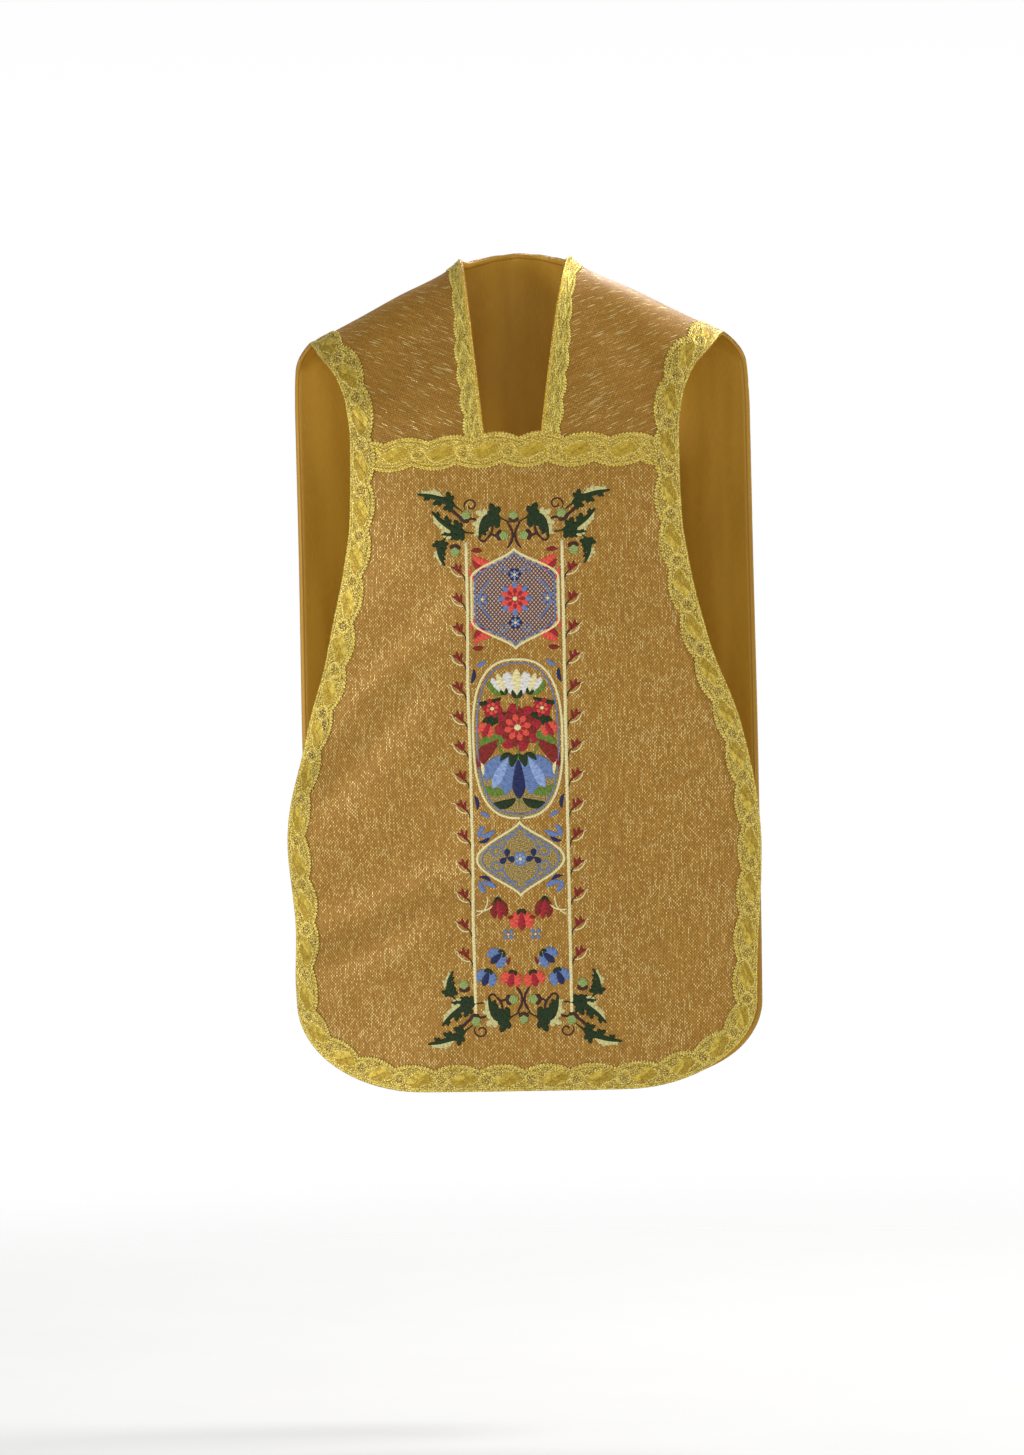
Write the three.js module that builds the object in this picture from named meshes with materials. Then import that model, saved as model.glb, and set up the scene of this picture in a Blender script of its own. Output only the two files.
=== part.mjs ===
// A Roman chasuble, hanging as it is worn. The back is cut in one with the two shoulder pieces, which
// come over the shoulders to the chest seam, where the front panel hangs from them. A lining lies
// inside both, and gold lace runs round the outer edge, round the neck and across the chest seam.
// Millimetres, +Z up, the front facing -Y. The origin is midway between the two points where the
// shoulders meet the neck opening.
import * as THREE from "three";

// The two faces of each wall, as distances out from the garment's form.
const CLOTH = { outer: 0, inner: -1.6 };
const LINING = { outer: -1.9, inner: -2.9 };
const LACE = { outer: 1.5, inner: 0.3 };

const SEAM_GAP = 0.3;
const EDGE_LACE_WIDTH = 33;
const NECK_LACE_WIDTH = 24;

// Heights of the chest seam and of the lace band over it, at the middle of the front.
const BAND_TOP = -231;
const CHEST_SEAM = -241;
const BAND_FOOT = -271;

// The neck opening widens from the band to the shoulder ridge and is rounded behind the neck.
const NECK = { halfAtBand: 35.5, halfAtRidge: 70, backDepth: 74 };

// Each bottom corner is a quarter of an ellipse.
const CORNER = { width: 160, height: 108 };

// Rows of the form from the front hem over the shoulder ridge to the back hem: height beside the
// neck, depth (y) at the middle and at the side, share of the shoulders' fall, half width.
const ROWS = [
  { level: -1052, middle: -140, side: -74, fall: 0, half: 288 },
  { level: -900, middle: -140, side: -70, fall: 0, half: 291 },
  { level: -800, middle: -139, side: -68, fall: 0, half: 297 },
  { level: -750, middle: -139, side: -68, fall: 0, half: 298 },
  { level: -700, middle: -138, side: -68, fall: 0, half: 295 },
  { level: -600, middle: -137, side: -67, fall: 0, half: 277 },
  { level: -500, middle: -135, side: -66, fall: 0, half: 243 },
  { level: -390, middle: -132, side: -65, fall: 0, half: 217 },
  { level: -330, middle: -129, side: -64, fall: 0, half: 209 },
  { level: -240, middle: -117, side: -60, fall: 0.03, half: 207 },
  { level: -170, middle: -101, side: -57, fall: 0.25, half: 212 },
  { level: -110, middle: -81, side: -52, fall: 0.52, half: 225 },
  { level: -60, middle: -61, side: -44, fall: 0.77, half: 242 },
  { level: -25, middle: -40, side: -31, fall: 0.93, half: 254 },
  { level: -6, middle: -18, side: -15, fall: 0.99, half: 261 },
  { level: 0, middle: 0, side: 0, fall: 1, half: 266 },
  { level: -3, middle: 17, side: 22, fall: 1, half: 277 },
  { level: -14, middle: 38, side: 43, fall: 0.97, half: 287 },
  { level: -34, middle: 60, side: 56, fall: 0.88, half: 291 },
  { level: -80, middle: 83, side: 63, fall: 0.68, half: 293 },
  { level: -150, middle: 102, side: 69, fall: 0.42, half: 294 },
  { level: -240, middle: 113, side: 72, fall: 0.15, half: 294 },
  { level: -350, middle: 120, side: 76, fall: 0, half: 294 },
  { level: -600, middle: 126, side: 80, fall: 0, half: 295 },
  { level: -850, middle: 130, side: 82, fall: 0, half: 294 },
  { level: -1062, middle: 132, side: 84, fall: 0, half: 292 },
];
const RIDGE_ROW = 15;

// Distance from the middle at which a row has its "side" depth.
const SIDE_REACH = 290;

// The shoulder line: its fall at each distance from the middle. It rises to the nape of the neck.
const SHOULDER = [
  { across: -25, fall: -49 },
  { across: 0, fall: -57 },
  { across: 25, fall: -49 },
  { across: 50, fall: -27 },
  { across: 71, fall: 0 },
  { across: 92, fall: 15.6 },
  { across: 149, fall: 42.5 },
  { across: 202, fall: 70 },
  { across: 249, fall: 93.5 },
  { across: 300, fall: 119 },
];

// Cells of the sheets.
const CORNER_CELLS = 4;
const HEM_CELLS = 4;
const ACROSS_CELLS = CORNER_CELLS + HEM_CELLS;
const SHOULDER_CELLS = 7;
const SHOULDER_CROWDING = 1.6;
const NAPE_CELLS = 6;
const SIDE_CELL = 62;
const CLOSING_ROWS = 7;

// --- The form -----------------------------------------------------------------------------------

// A smooth curve through a table's values that never swings past them.
function curve(positions, values) {
  const last = positions.length - 1;
  const slopeFrom = (i) => (values[i + 1] - values[i]) / (positions[i + 1] - positions[i]);
  const slopes = values.map((_, i) => {
    const before = slopeFrom(Math.max(i - 1, 0));
    const after = slopeFrom(Math.min(i, last - 1));
    return before * after > 0 ? (2 * before * after) / (before + after) : 0;
  });
  return (position) => {
    let i = 0;
    while (i < last - 1 && position > positions[i + 1]) {
      i += 1;
    }
    const span = positions[i + 1] - positions[i];
    const t = THREE.MathUtils.clamp((position - positions[i]) / span, 0, 1);
    const start = (1 - t) ** 2 * ((1 + 2 * t) * values[i] + t * span * slopes[i]);
    const end = t ** 2 * ((3 - 2 * t) * values[i + 1] - (1 - t) * span * slopes[i + 1]);
    return start + end;
  };
}

// Distance of each row from the front hem, along the cloth.
const rowPlaces = [0];
for (let i = 1; i < ROWS.length; i += 1) {
  const rise = ROWS[i].level - ROWS[i - 1].level;
  const depth = ROWS[i].middle - ROWS[i - 1].middle;
  rowPlaces.push(rowPlaces[i - 1] + Math.hypot(rise, depth));
}
const RIDGE = rowPlaces[RIDGE_ROW];
const BACK_HEM = rowPlaces[ROWS.length - 1];

const rowCurve = (name) => curve(rowPlaces, ROWS.map((row) => row[name]));
const levelAt = rowCurve("level");
const middleAt = rowCurve("middle");
const sideAt = rowCurve("side");
const fallShareAt = rowCurve("fall");
const halfAt = rowCurve("half");
const fallAt = curve(SHOULDER.map((row) => row.across), SHOULDER.map((row) => row.fall));

// The point of the form at a distance across from the middle and along from the front hem.
function formPoint({ across, along }) {
  const turn = (across / SIDE_REACH) ** 2;
  const y = middleAt(along) + (sideAt(along) - middleAt(along)) * turn;
  const z = levelAt(along) - fallShareAt(along) * fallAt(Math.abs(across));
  return new THREE.Vector3(across, y, z);
}

// How the form runs at a place, per millimetre across and per millimetre along.
function runs({ across, along }) {
  const step = 0.5;
  const low = Math.max(along - step, 0);
  const high = Math.min(along + step, BACK_HEM);
  const right = formPoint({ across: across + step, along });
  const up = formPoint({ across, along: high });
  return {
    acrossRun: right.sub(formPoint({ across: across - step, along })).divideScalar(2 * step),
    alongRun: up.sub(formPoint({ across, along: low })).divideScalar(high - low),
  };
}

// A knot is a point of the form with the direction out of it there.
function knot(place) {
  const { acrossRun, alongRun } = runs(place);
  return { ...place, point: formPoint(place), out: acrossRun.cross(alongRun).normalize() };
}

// The place at a distance in from an edge. `side` is 1 where the cloth lies to the left of the
// edge's heading, and -1 where it lies to the right.
function inset(place, heading, distance, side) {
  const { acrossRun, alongRun } = runs(place);
  const acrossScale = acrossRun.length();
  const alongScale = alongRun.length();
  const dx = heading.across * acrossScale;
  const ds = heading.along * alongScale;
  const reach = (side * distance) / Math.hypot(dx, ds);
  return {
    across: place.across - (ds * reach) / acrossScale,
    along: place.along + (dx * reach) / alongScale,
  };
}

// The distance along the cloth at which the middle of the front has a given height.
function frontPlace(height) {
  let low = 0;
  let high = RIDGE;
  while (high - low > 0.001) {
    const middle = (low + high) / 2;
    if (levelAt(middle) < height) {
      low = middle;
    } else {
      high = middle;
    }
  }
  return low;
}

// --- Edges of the half at +X: each has the knots of the edge and those inside its lace -------------

function edging(places, width, side) {
  const last = places.length - 1;
  return places.map((place, i) => {
    const before = places[Math.max(i - 1, 0)];
    const after = places[Math.min(i + 1, last)];
    const heading = { across: after.across - before.across, along: after.along - before.along };
    if (i === 0) {
      heading.across = 0;
    }
    if (place.across === 0) {
      heading.along = 0;
    }
    return { edge: knot(place), inner: knot(inset(place, heading, width, side)) };
  });
}

// The side edge at the given rows, the bottom corner, and the hem as far as the middle.
// `fromHem` turns a height above the hem into a distance along the cloth.
function outline(rows, fromHem) {
  const places = rows.map((along) => ({ across: halfAt(along), along }));
  const half = halfAt(fromHem(CORNER.height));
  for (let i = 0; i <= 2 * CORNER_CELLS; i += 1) {
    const angle = (Math.PI / 2) * (i / (2 * CORNER_CELLS));
    const across = half - CORNER.width * (1 - Math.cos(angle));
    places.push({ across, along: fromHem(CORNER.height * (1 - Math.sin(angle))) });
  }
  for (let i = HEM_CELLS - 1; i >= 0; i -= 1) {
    places.push({ across: (half - CORNER.width) * (i / HEM_CELLS), along: fromHem(0) });
  }
  return places;
}

// Even steps from one distance to another, the last left out.
function steps(from, to) {
  const count = Math.ceil(Math.abs(to - from) / SIDE_CELL);
  return Array.from({ length: count }, (_, i) => from + ((to - from) * i) / count);
}

// --- Sheets: lists of four-cornered cells of knots -------------------------------------------------

// The cells between two lines of knots.
function strip(first, second) {
  return first.slice(1).map((knotHere, i) => [first[i], knotHere, second[i + 1], second[i]]);
}

const MIRROR = new THREE.Vector3(-1, 1, 1);

// The cells with those of the other half of the garment.
function both(cells) {
  const twin = ({ point, out }) => ({
    point: point.clone().multiply(MIRROR),
    out: out.clone().multiply(MIRROR),
  });
  return [...cells, ...cells.map((cell) => cell.map(twin))];
}

// Rows of cells from an inner line to the inside of the side edge. The last rows close in on the
// inside of the hem.
function field(innerLine, sideLine, hemLine) {
  const last = innerLine.length - 1;
  const mix = (a, b, share) => ({
    across: THREE.MathUtils.lerp(a.across, b.across, share),
    along: THREE.MathUtils.lerp(a.along, b.along, share),
  });
  const rows = innerLine.map((inner, j) => {
    const pull = Math.max(0, (j - last + CLOSING_ROWS) / CLOSING_ROWS);
    return hemLine.map((hem, i) => {
      if (i === 0 || i === ACROSS_CELLS) {
        return i === 0 ? inner : sideLine[j];
      }
      const share = i / ACROSS_CELLS;
      const place = mix(inner, sideLine[j], share);
      const chord = mix(innerLine[last], sideLine[last], share);
      place.across += pull * (hem.across - chord.across);
      place.along += pull * (hem.along - chord.along);
      return knot(place);
    });
  });
  return rows.slice(1).flatMap((row, j) => strip(rows[j], row));
}

// One half of a panel. `rings` are its edges and `inside` the cells within them.
function halfPanel(rows, neckRing, fromHem, side) {
  const ring = edging(outline(rows, fromHem), EDGE_LACE_WIDTH, side);
  const cornerMiddle = rows.length + CORNER_CELLS;
  const sideLine = ring.slice(0, cornerMiddle + 1).map((place) => place.inner);
  const hemLine = ring.slice(cornerMiddle).map((place) => place.inner).reverse();
  const innerLine = neckRing.map((place) => place.inner);
  rows.slice(innerLine.length).forEach((along) => innerLine.push(knot({ across: 0, along })));
  const hemInner = hemLine[0];
  const lowest = fromHem(CORNER.height);
  for (let i = 0; i < CORNER_CELLS; i += 1) {
    const along = THREE.MathUtils.lerp(lowest, hemInner.along, i / CORNER_CELLS);
    innerLine.push(knot({ across: 0, along }));
  }
  innerLine.push(hemInner);
  const rings = neckRing.length > 0 ? [ring, neckRing] : [ring];
  return { rings, inside: field(innerLine, sideLine, hemLine) };
}

const bandTop = frontPlace(BAND_TOP);
const chestSeam = frontPlace(CHEST_SEAM);
const bandFoot = frontPlace(BAND_FOOT);

function frontHalf() {
  const rows = [chestSeam - SEAM_GAP / 2, ...steps(bandFoot, CORNER.height)];
  return halfPanel(rows, [], (height) => height, -1);
}

function neckHalf(along) {
  const share = (RIDGE - along) / (RIDGE - bandTop);
  return THREE.MathUtils.lerp(NECK.halfAtRidge, NECK.halfAtBand, share);
}

function backHalf() {
  const shoulderRows = [chestSeam + SEAM_GAP / 2];
  for (let i = 0; i <= SHOULDER_CELLS; i += 1) {
    const share = (1 - i / SHOULDER_CELLS) ** SHOULDER_CROWDING;
    shoulderRows.push(RIDGE - (RIDGE - bandTop) * share);
  }
  const neckPlaces = shoulderRows.map((along) => ({ across: neckHalf(along), along }));
  for (let i = 1; i <= NAPE_CELLS; i += 1) {
    const angle = (Math.PI / 2) * (i / NAPE_CELLS);
    const across = i === NAPE_CELLS ? 0 : NECK.halfAtRidge * Math.cos(angle);
    neckPlaces.push({ across, along: RIDGE + NECK.backDepth * Math.sin(angle) });
  }
  const neckRing = edging(neckPlaces, NECK_LACE_WIDTH, -1);
  const napeFoot = neckRing[neckRing.length - 1].inner.along;
  const rows = [...shoulderRows];
  for (let i = 1; i <= NAPE_CELLS; i += 1) {
    rows.push(THREE.MathUtils.lerp(RIDGE, napeFoot, i / NAPE_CELLS));
  }
  rows.push(...steps(napeFoot, BACK_HEM - CORNER.height).slice(1));
  return halfPanel(rows, neckRing, (height) => BACK_HEM - height, 1);
}

const laceCells = (ring) => strip(ring.map((place) => place.edge), ring.map((place) => place.inner));
const panelCells = ({ rings, inside }) => [...inside, ...rings.flatMap(laceCells)];

// The band reaches from one edge lace to the other.
function bandCells(reach) {
  const line = (along) => Array.from({ length: ACROSS_CELLS + 1 }, (_, i) =>
    knot({ across: reach * (i / ACROSS_CELLS), along }));
  const lines = [bandFoot, chestSeam, bandTop].map(line);
  return [...strip(lines[0], lines[1]), ...strip(lines[1], lines[2])];
}

// --- Walls ----------------------------------------------------------------------------------------

// A closed wall: every cell on its outer and its inner face, and a rim along the free edges.
function wall(name, cells, faces, look) {
  const numbers = new Map();
  const outers = [];
  const inners = [];
  const numberOf = ({ point, out }) => {
    const key = point.toArray().map((value) => value.toFixed(3)).join();
    if (!numbers.has(key)) {
      numbers.set(key, numbers.size);
      outers.push(point.clone().addScaledVector(out, faces.outer));
      inners.push(point.clone().addScaledVector(out, faces.inner));
    }
    return numbers.get(key);
  };
  const corners = cells.map(([a, b, c, d]) => {
    const facing = b.point.clone().sub(a.point).cross(c.point.clone().sub(a.point)).dot(a.out);
    return (facing > 0 ? [a, b, c, d] : [a, d, c, b]).map(numberOf);
  });
  const count = numbers.size;
  const edges = new Map();
  const indices = [];
  corners.forEach((cell) => {
    const [a, b, c, d] = cell;
    indices.push(a, b, c, a, c, d);
    indices.push(count + a, count + c, count + b, count + a, count + d, count + c);
    cell.forEach((from, i) => edges.set(`${from},${cell[(i + 1) % 4]}`, [from, cell[(i + 1) % 4]]));
  });
  edges.forEach(([from, to]) => {
    if (!edges.has(`${to},${from}`)) {
      indices.push(from, count + from, count + to, from, count + to, to);
    }
  });
  const geometry = new THREE.BufferGeometry().setFromPoints([...outers, ...inners]);
  geometry.setIndex(indices);
  geometry.computeVertexNormals();
  const mesh = new THREE.Mesh(geometry, new THREE.MeshStandardMaterial(look));
  mesh.name = name;
  return mesh;
}

const BROCADE = { color: 0xa8763a, roughness: 0.5, metalness: 0.35 };
const SATIN = { color: 0xae7a28, roughness: 0.4, metalness: 0.1 };
const GOLD_LACE = { color: 0xcdb048, roughness: 0.45, metalness: 0.4 };

const front = frontHalf();
const back = backHalf();
const frontCells = both(panelCells(front));
const backCells = both(panelCells(back));
const [frontRing] = front.rings;
const [backRing, neckRing] = back.rings;

// The edge lace crosses the chest seam, and its two lengths share their knots there.
const edgeLaceCells = [...laceCells(frontRing), ...laceCells([frontRing[0], ...backRing.slice(1)])];

// The neck lace stops just above the band.
const neckFoot = { across: neckHalf(bandTop), along: bandTop + SEAM_GAP };
const neckPlaces = [neckFoot, ...neckRing.slice(2).map(({ edge }) => edge)];
const neckLaceRing = edging(neckPlaces, NECK_LACE_WIDTH, -1);

const bandReach = frontRing[0].inner.across - 2 * SEAM_GAP;

const chasuble = new THREE.Group();
chasuble.add(
  wall("front_panel", frontCells, CLOTH, BROCADE),
  wall("back_panel", backCells, CLOTH, BROCADE),
  wall("front_lining", frontCells, LINING, SATIN),
  wall("back_lining", backCells, LINING, SATIN),
  wall("chest_band", both(bandCells(bandReach)), LACE, GOLD_LACE),
  wall("neck_lace", both(laceCells(neckLaceRing)), LACE, GOLD_LACE),
  wall("edge_lace", both(edgeLaceCells), LACE, GOLD_LACE),
);

export default chasuble;
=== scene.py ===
import math

import bpy
import numpy as np
from mathutils import Matrix, Vector


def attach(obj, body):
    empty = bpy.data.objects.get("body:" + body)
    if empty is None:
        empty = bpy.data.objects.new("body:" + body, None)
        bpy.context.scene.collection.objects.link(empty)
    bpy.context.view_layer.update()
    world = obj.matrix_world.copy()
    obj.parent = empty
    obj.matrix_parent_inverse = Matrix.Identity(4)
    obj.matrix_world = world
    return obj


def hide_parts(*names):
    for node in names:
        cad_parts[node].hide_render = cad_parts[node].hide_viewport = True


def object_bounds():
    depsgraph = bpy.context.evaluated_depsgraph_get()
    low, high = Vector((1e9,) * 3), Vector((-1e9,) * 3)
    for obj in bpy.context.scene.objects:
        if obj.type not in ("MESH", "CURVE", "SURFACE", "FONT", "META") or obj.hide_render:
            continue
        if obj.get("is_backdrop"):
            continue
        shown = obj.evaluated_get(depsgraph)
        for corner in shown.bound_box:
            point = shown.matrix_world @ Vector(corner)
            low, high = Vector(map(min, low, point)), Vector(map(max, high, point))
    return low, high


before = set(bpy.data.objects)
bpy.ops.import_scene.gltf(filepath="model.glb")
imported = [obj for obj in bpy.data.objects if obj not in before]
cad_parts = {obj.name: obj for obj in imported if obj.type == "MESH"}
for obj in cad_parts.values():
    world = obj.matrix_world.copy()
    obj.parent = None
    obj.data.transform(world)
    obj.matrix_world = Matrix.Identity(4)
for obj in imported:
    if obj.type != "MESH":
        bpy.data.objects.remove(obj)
cad_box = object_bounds()

# Looks of a Roman chasuble that hangs as it is worn. Sizes are millimetres unless a name says
# otherwise. Places on the cloth are (across, along): the distance from the garment's middle, and
# the distance from the front hem up the front, over the shoulders and down the back.
MM = 0.001

# --- Camera ---------------------------------------------------------------------------------------

CAMERA = {"distance": 6130, "aside": 16.6, "height": -598, "azimuth": 4.0, "roll": 1.25}
LENS = 118.8


def add_camera():
    azimuth = math.radians(CAMERA["azimuth"])
    roll = math.radians(CAMERA["roll"])
    right = Vector((math.cos(azimuth), math.sin(azimuth), 0))
    ahead = Vector((-math.sin(azimuth), math.cos(azimuth), 0))
    up = Vector((0, 0, 1))
    rolled_right = right * math.cos(roll) - up * math.sin(roll)
    rolled_up = right * math.sin(roll) + up * math.cos(roll)
    place = up * CAMERA["height"] - ahead * CAMERA["distance"] - right * CAMERA["aside"]
    camera = bpy.data.objects.new("camera", bpy.data.cameras.new("camera"))
    camera.data.lens = LENS
    camera.data.clip_end = 100
    camera.matrix_world = Matrix.Translation(place * MM) @ Matrix(
        (rolled_right, rolled_up, -ahead)
    ).transposed().to_4x4()
    bpy.context.scene.collection.objects.link(camera)
    bpy.context.scene.camera = camera


add_camera()

# --- The garment's form, as the solids have it ------------------------------------------------------

CLOTH = {"outer": 0, "inner": -1.6}
LINING = {"outer": -1.9, "inner": -2.9}
EDGE_LACE_WIDTH = 33
NECK_LACE_WIDTH = 24
BAND_TOP = -231
CHEST_SEAM = -241
BAND_FOOT = -271
SEAM_GAP = 0.3
NECK = {"half_at_band": 35.5, "half_at_ridge": 70, "back_depth": 74}
CORNER = {"width": 160, "height": 108}

# Rows of the form: height beside the neck, depth (y) at the middle and at the side, share of the
# shoulders' fall, half width.
ROW_COLUMNS = ("level", "middle", "side", "fall", "half")
ROWS = (
    (-1052, -140, -74, 0, 288),
    (-900, -140, -70, 0, 291),
    (-800, -139, -68, 0, 297),
    (-750, -139, -68, 0, 298),
    (-700, -138, -68, 0, 295),
    (-600, -137, -67, 0, 277),
    (-500, -135, -66, 0, 243),
    (-390, -132, -65, 0, 217),
    (-330, -129, -64, 0, 209),
    (-240, -117, -60, 0.03, 207),
    (-170, -101, -57, 0.25, 212),
    (-110, -81, -52, 0.52, 225),
    (-60, -61, -44, 0.77, 242),
    (-25, -40, -31, 0.93, 254),
    (-6, -18, -15, 0.99, 261),
    (0, 0, 0, 1, 266),
    (-3, 17, 22, 1, 277),
    (-14, 38, 43, 0.97, 287),
    (-34, 60, 56, 0.88, 291),
    (-80, 83, 63, 0.68, 293),
    (-150, 102, 69, 0.42, 294),
    (-240, 113, 72, 0.15, 294),
    (-350, 120, 76, 0, 294),
    (-600, 126, 80, 0, 295),
    (-850, 130, 82, 0, 294),
    (-1062, 132, 84, 0, 292),
)
RIDGE_ROW = 15
SIDE_REACH = 290

# The shoulder line: distance from the middle, fall.
SHOULDER = (
    (-25, -49),
    (0, -57),
    (25, -49),
    (50, -27),
    (71, 0),
    (92, 15.6),
    (149, 42.5),
    (202, 70),
    (249, 93.5),
    (300, 119),
)


def curve(places, values):
    """A smooth curve through a table's values that never swings past them."""
    places = np.array(places, float)
    values = np.array(values, float)
    spans = np.diff(places)
    rates = np.diff(values) / spans
    before = np.append(rates[0], rates)
    after = np.append(rates, rates[-1])
    total = np.where(before + after == 0, 1, before + after)
    slopes = np.where(before * after > 0, 2 * before * after / total, 0)

    def at(place):
        i = np.clip(np.searchsorted(places, place) - 1, 0, len(spans) - 1)
        t = np.clip((place - places[i]) / spans[i], 0, 1)
        start = (1 - t) ** 2 * ((1 + 2 * t) * values[i] + t * spans[i] * slopes[i])
        end = t**2 * ((3 - 2 * t) * values[i + 1] - (1 - t) * spans[i] * slopes[i + 1])
        return start + end

    return at


row = {name: np.array(values, float) for name, values in zip(ROW_COLUMNS, zip(*ROWS))}
row_places = np.append(0, np.cumsum(np.hypot(np.diff(row["level"]), np.diff(row["middle"]))))
RIDGE = row_places[RIDGE_ROW]
BACK_HEM = row_places[-1]
row_at = {name: curve(row_places, values) for name, values in row.items()}
fall_at = curve(*zip(*SHOULDER))


def front_place(height):
    """How far from the front hem the middle of the front has a height."""
    places = np.linspace(0, RIDGE, 20001)
    return float(np.interp(height, row_at["level"](places), places))


BAND_TOP_PLACE = front_place(BAND_TOP)
SEAM_PLACE = front_place(CHEST_SEAM)
BAND_FOOT_PLACE = front_place(BAND_FOOT)


def form(across, along):
    turn = (across / SIDE_REACH) ** 2
    middle = row_at["middle"](along)
    depth = middle + (row_at["side"](along) - middle) * turn
    height = row_at["level"](along) - row_at["fall"](along) * fall_at(np.abs(across))
    return np.stack(np.broadcast_arrays(across, depth, height), axis=-1)


# --- Creases --------------------------------------------------------------------------------------

# Soft ridges (height over 0) and troughs: both ends, half width, height, sideways bow.
CREASE_COLUMNS = ("across_0", "along_0", "across_1", "along_1", "width", "height", "bow")
FRONT_CREASES = (
    (-330, 104, -20, 262, 50, 11.0, 8),
    (-345, 184, -34, 330, 50, -11.0, 10),
    (-334, 262, -8, 596, 54, 12.5, 8),
    (-390, 344, -70, 662, 54, -11.5, 14),
    (-266, 520, -66, 760, 44, 5.4, 8),
    (-170, -80, -92, 150, 42, 3.4, 8),
    (90, -90, 150, 260, 44, 4.6, 10),
    (232, -60, 120, 470, 44, -6.0, -16),
    (300, 210, 92, 640, 46, 6.5, 14),
    (262, 470, 116, 770, 38, -4.6, 8),
    (-20, -90, 15, 90, 40, -2.4, 0),
)
SHOULDER_CREASES = (
    (-92, 1010, -196, 872, 34, -4.2, 8),
    (-206, 985, -182, 838, 22, 3.0, 4),
    (-58, 960, -96, 838, 20, 1.8, 0),
    (96, 1020, 186, 900, 36, -3.8, -9),
    (70, 930, 150, 838, 26, 2.4, 5),
    (214, 990, 190, 850, 20, 2.2, -3),
)
BACK_CREASES = (
    (-112, 1215, -158, 2310, 46, 10.0, 14),
    (-30, 1290, -66, 2290, 40, -7.0, -10),
    (48, 1240, 22, 2320, 44, 8.5, 9),
    (128, 1180, 178, 2310, 42, 9.5, -12),
    (206, 1240, 238, 1860, 32, -5.5, 6),
    (-214, 1260, -232, 2080, 36, 6.5, -8),
    (-262, 1700, -250, 2290, 26, -4.5, 4),
    (256, 1880, 244, 2290, 28, 4.5, 0),
    (92, 1130, -12, 1290, 34, -4.2, 16),
    (-96, 1140, -30, 1250, 26, -3.4, -10),
)
CREASE_FADE = 0.32


def smooth(t):
    t = np.clip(t, 0, 1)
    return t * t * (3 - 2 * t)


def crease(across, along, rows):
    """How far creases lift the cloth at a place."""
    lift = np.zeros(np.broadcast(across, along).shape)
    for values in rows:
        c = dict(zip(CREASE_COLUMNS, values))
        run = np.array([c["across_1"] - c["across_0"], c["along_1"] - c["along_0"]])
        length = np.hypot(*run)
        run = run / length
        dx, ds = across - c["across_0"], along - c["along_0"]
        t = (dx * run[0] + ds * run[1]) / length
        aside = dx * run[1] - ds * run[0] - c["bow"] * 4 * t * (1 - t)
        ends = smooth(t / CREASE_FADE) * smooth((1 - t) / CREASE_FADE)
        lift += c["height"] * ends * np.exp(-((aside / c["width"]) ** 2))
    return lift


PUCKER = {"height": 0.35, "spacing": 19, "reach": 16}


def puckers(across, along):
    """Small waves beside the seam under the chest band."""
    away = np.abs(along - SEAM_PLACE) / PUCKER["reach"]
    wave = np.sin(across / PUCKER["spacing"] * 2 * np.pi + 2 * np.sin(across / 47))
    return PUCKER["height"] * wave * np.exp(-(away**2))


def outward(shape, across, along):
    """The direction out of a shape."""
    step = 0.5
    low = np.maximum(along - step, 0)
    high = np.minimum(along + step, BACK_HEM)
    across_run = shape(across + step, along) - shape(across - step, along)
    out = np.cross(across_run, shape(across, high) - shape(across, low))
    return out / np.linalg.norm(out, axis=-1, keepdims=True)


ALL_CREASES = (*FRONT_CREASES, *SHOULDER_CREASES, *BACK_CREASES)


def draped(across, along):
    lift = crease(across, along, ALL_CREASES) + puckers(across, along)
    return form(across, along) + outward(form, across, along) * lift[..., None]


def lifted(across, along, lift):
    """Points on the draped cloth, moved out of it by a lift."""
    across, along, lift = np.broadcast_arrays(across, along, lift)
    return draped(across, along) + outward(draped, across, along) * lift[..., None]


# --- Meshes ---------------------------------------------------------------------------------------


def make_piece(name, points, faces, materials, face_materials=None, **attributes):
    """An object from points in millimetres. Attributes hold a number or three for each point."""
    mesh = bpy.data.meshes.new(name)
    mesh.from_pydata((points * MM).tolist(), [], faces)
    for material in materials:
        mesh.materials.append(material)
    if face_materials is not None:
        mesh.polygons.foreach_set("material_index", face_materials)
    for key, values in attributes.items():
        values = np.asarray(values, np.float32)
        if values.ndim == 1:
            mesh.attributes.new(key, "FLOAT", "POINT").data.foreach_set("value", values)
        else:
            made = mesh.attributes.new(key, "FLOAT_VECTOR", "POINT")
            made.data.foreach_set("vector", values.ravel())
    mesh.polygons.foreach_set("use_smooth", [True] * len(mesh.polygons))
    mesh.update()
    piece = bpy.data.objects.new(name, mesh)
    bpy.context.scene.collection.objects.link(piece)
    return piece


def free_edges(faces):
    """The edges of quads that no other quad shares, in the order their own quads have."""
    edges = np.stack([faces, np.roll(faces, -1, axis=1)], axis=-1).reshape(-1, 2).tolist()
    known = {(a, b) for a, b in edges}
    return [(a, b) for a, b in edges if (b, a) not in known]


def welded(places, faces):
    """Places and faces with equal places made one."""
    _, first, number = np.unique(
        np.round(places, 3), axis=0, return_index=True, return_inverse=True
    )
    return places[first], number.reshape(-1)[faces]


def grid_faces(rows, columns):
    """Quads of a grid whose columns run across and whose rows run along."""
    i = np.arange(rows - 1)[:, None] * columns + np.arange(columns - 1)[None, :]
    return np.stack([i, i + 1, i + columns + 1, i + columns], axis=-1).reshape(-1, 4)


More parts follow.
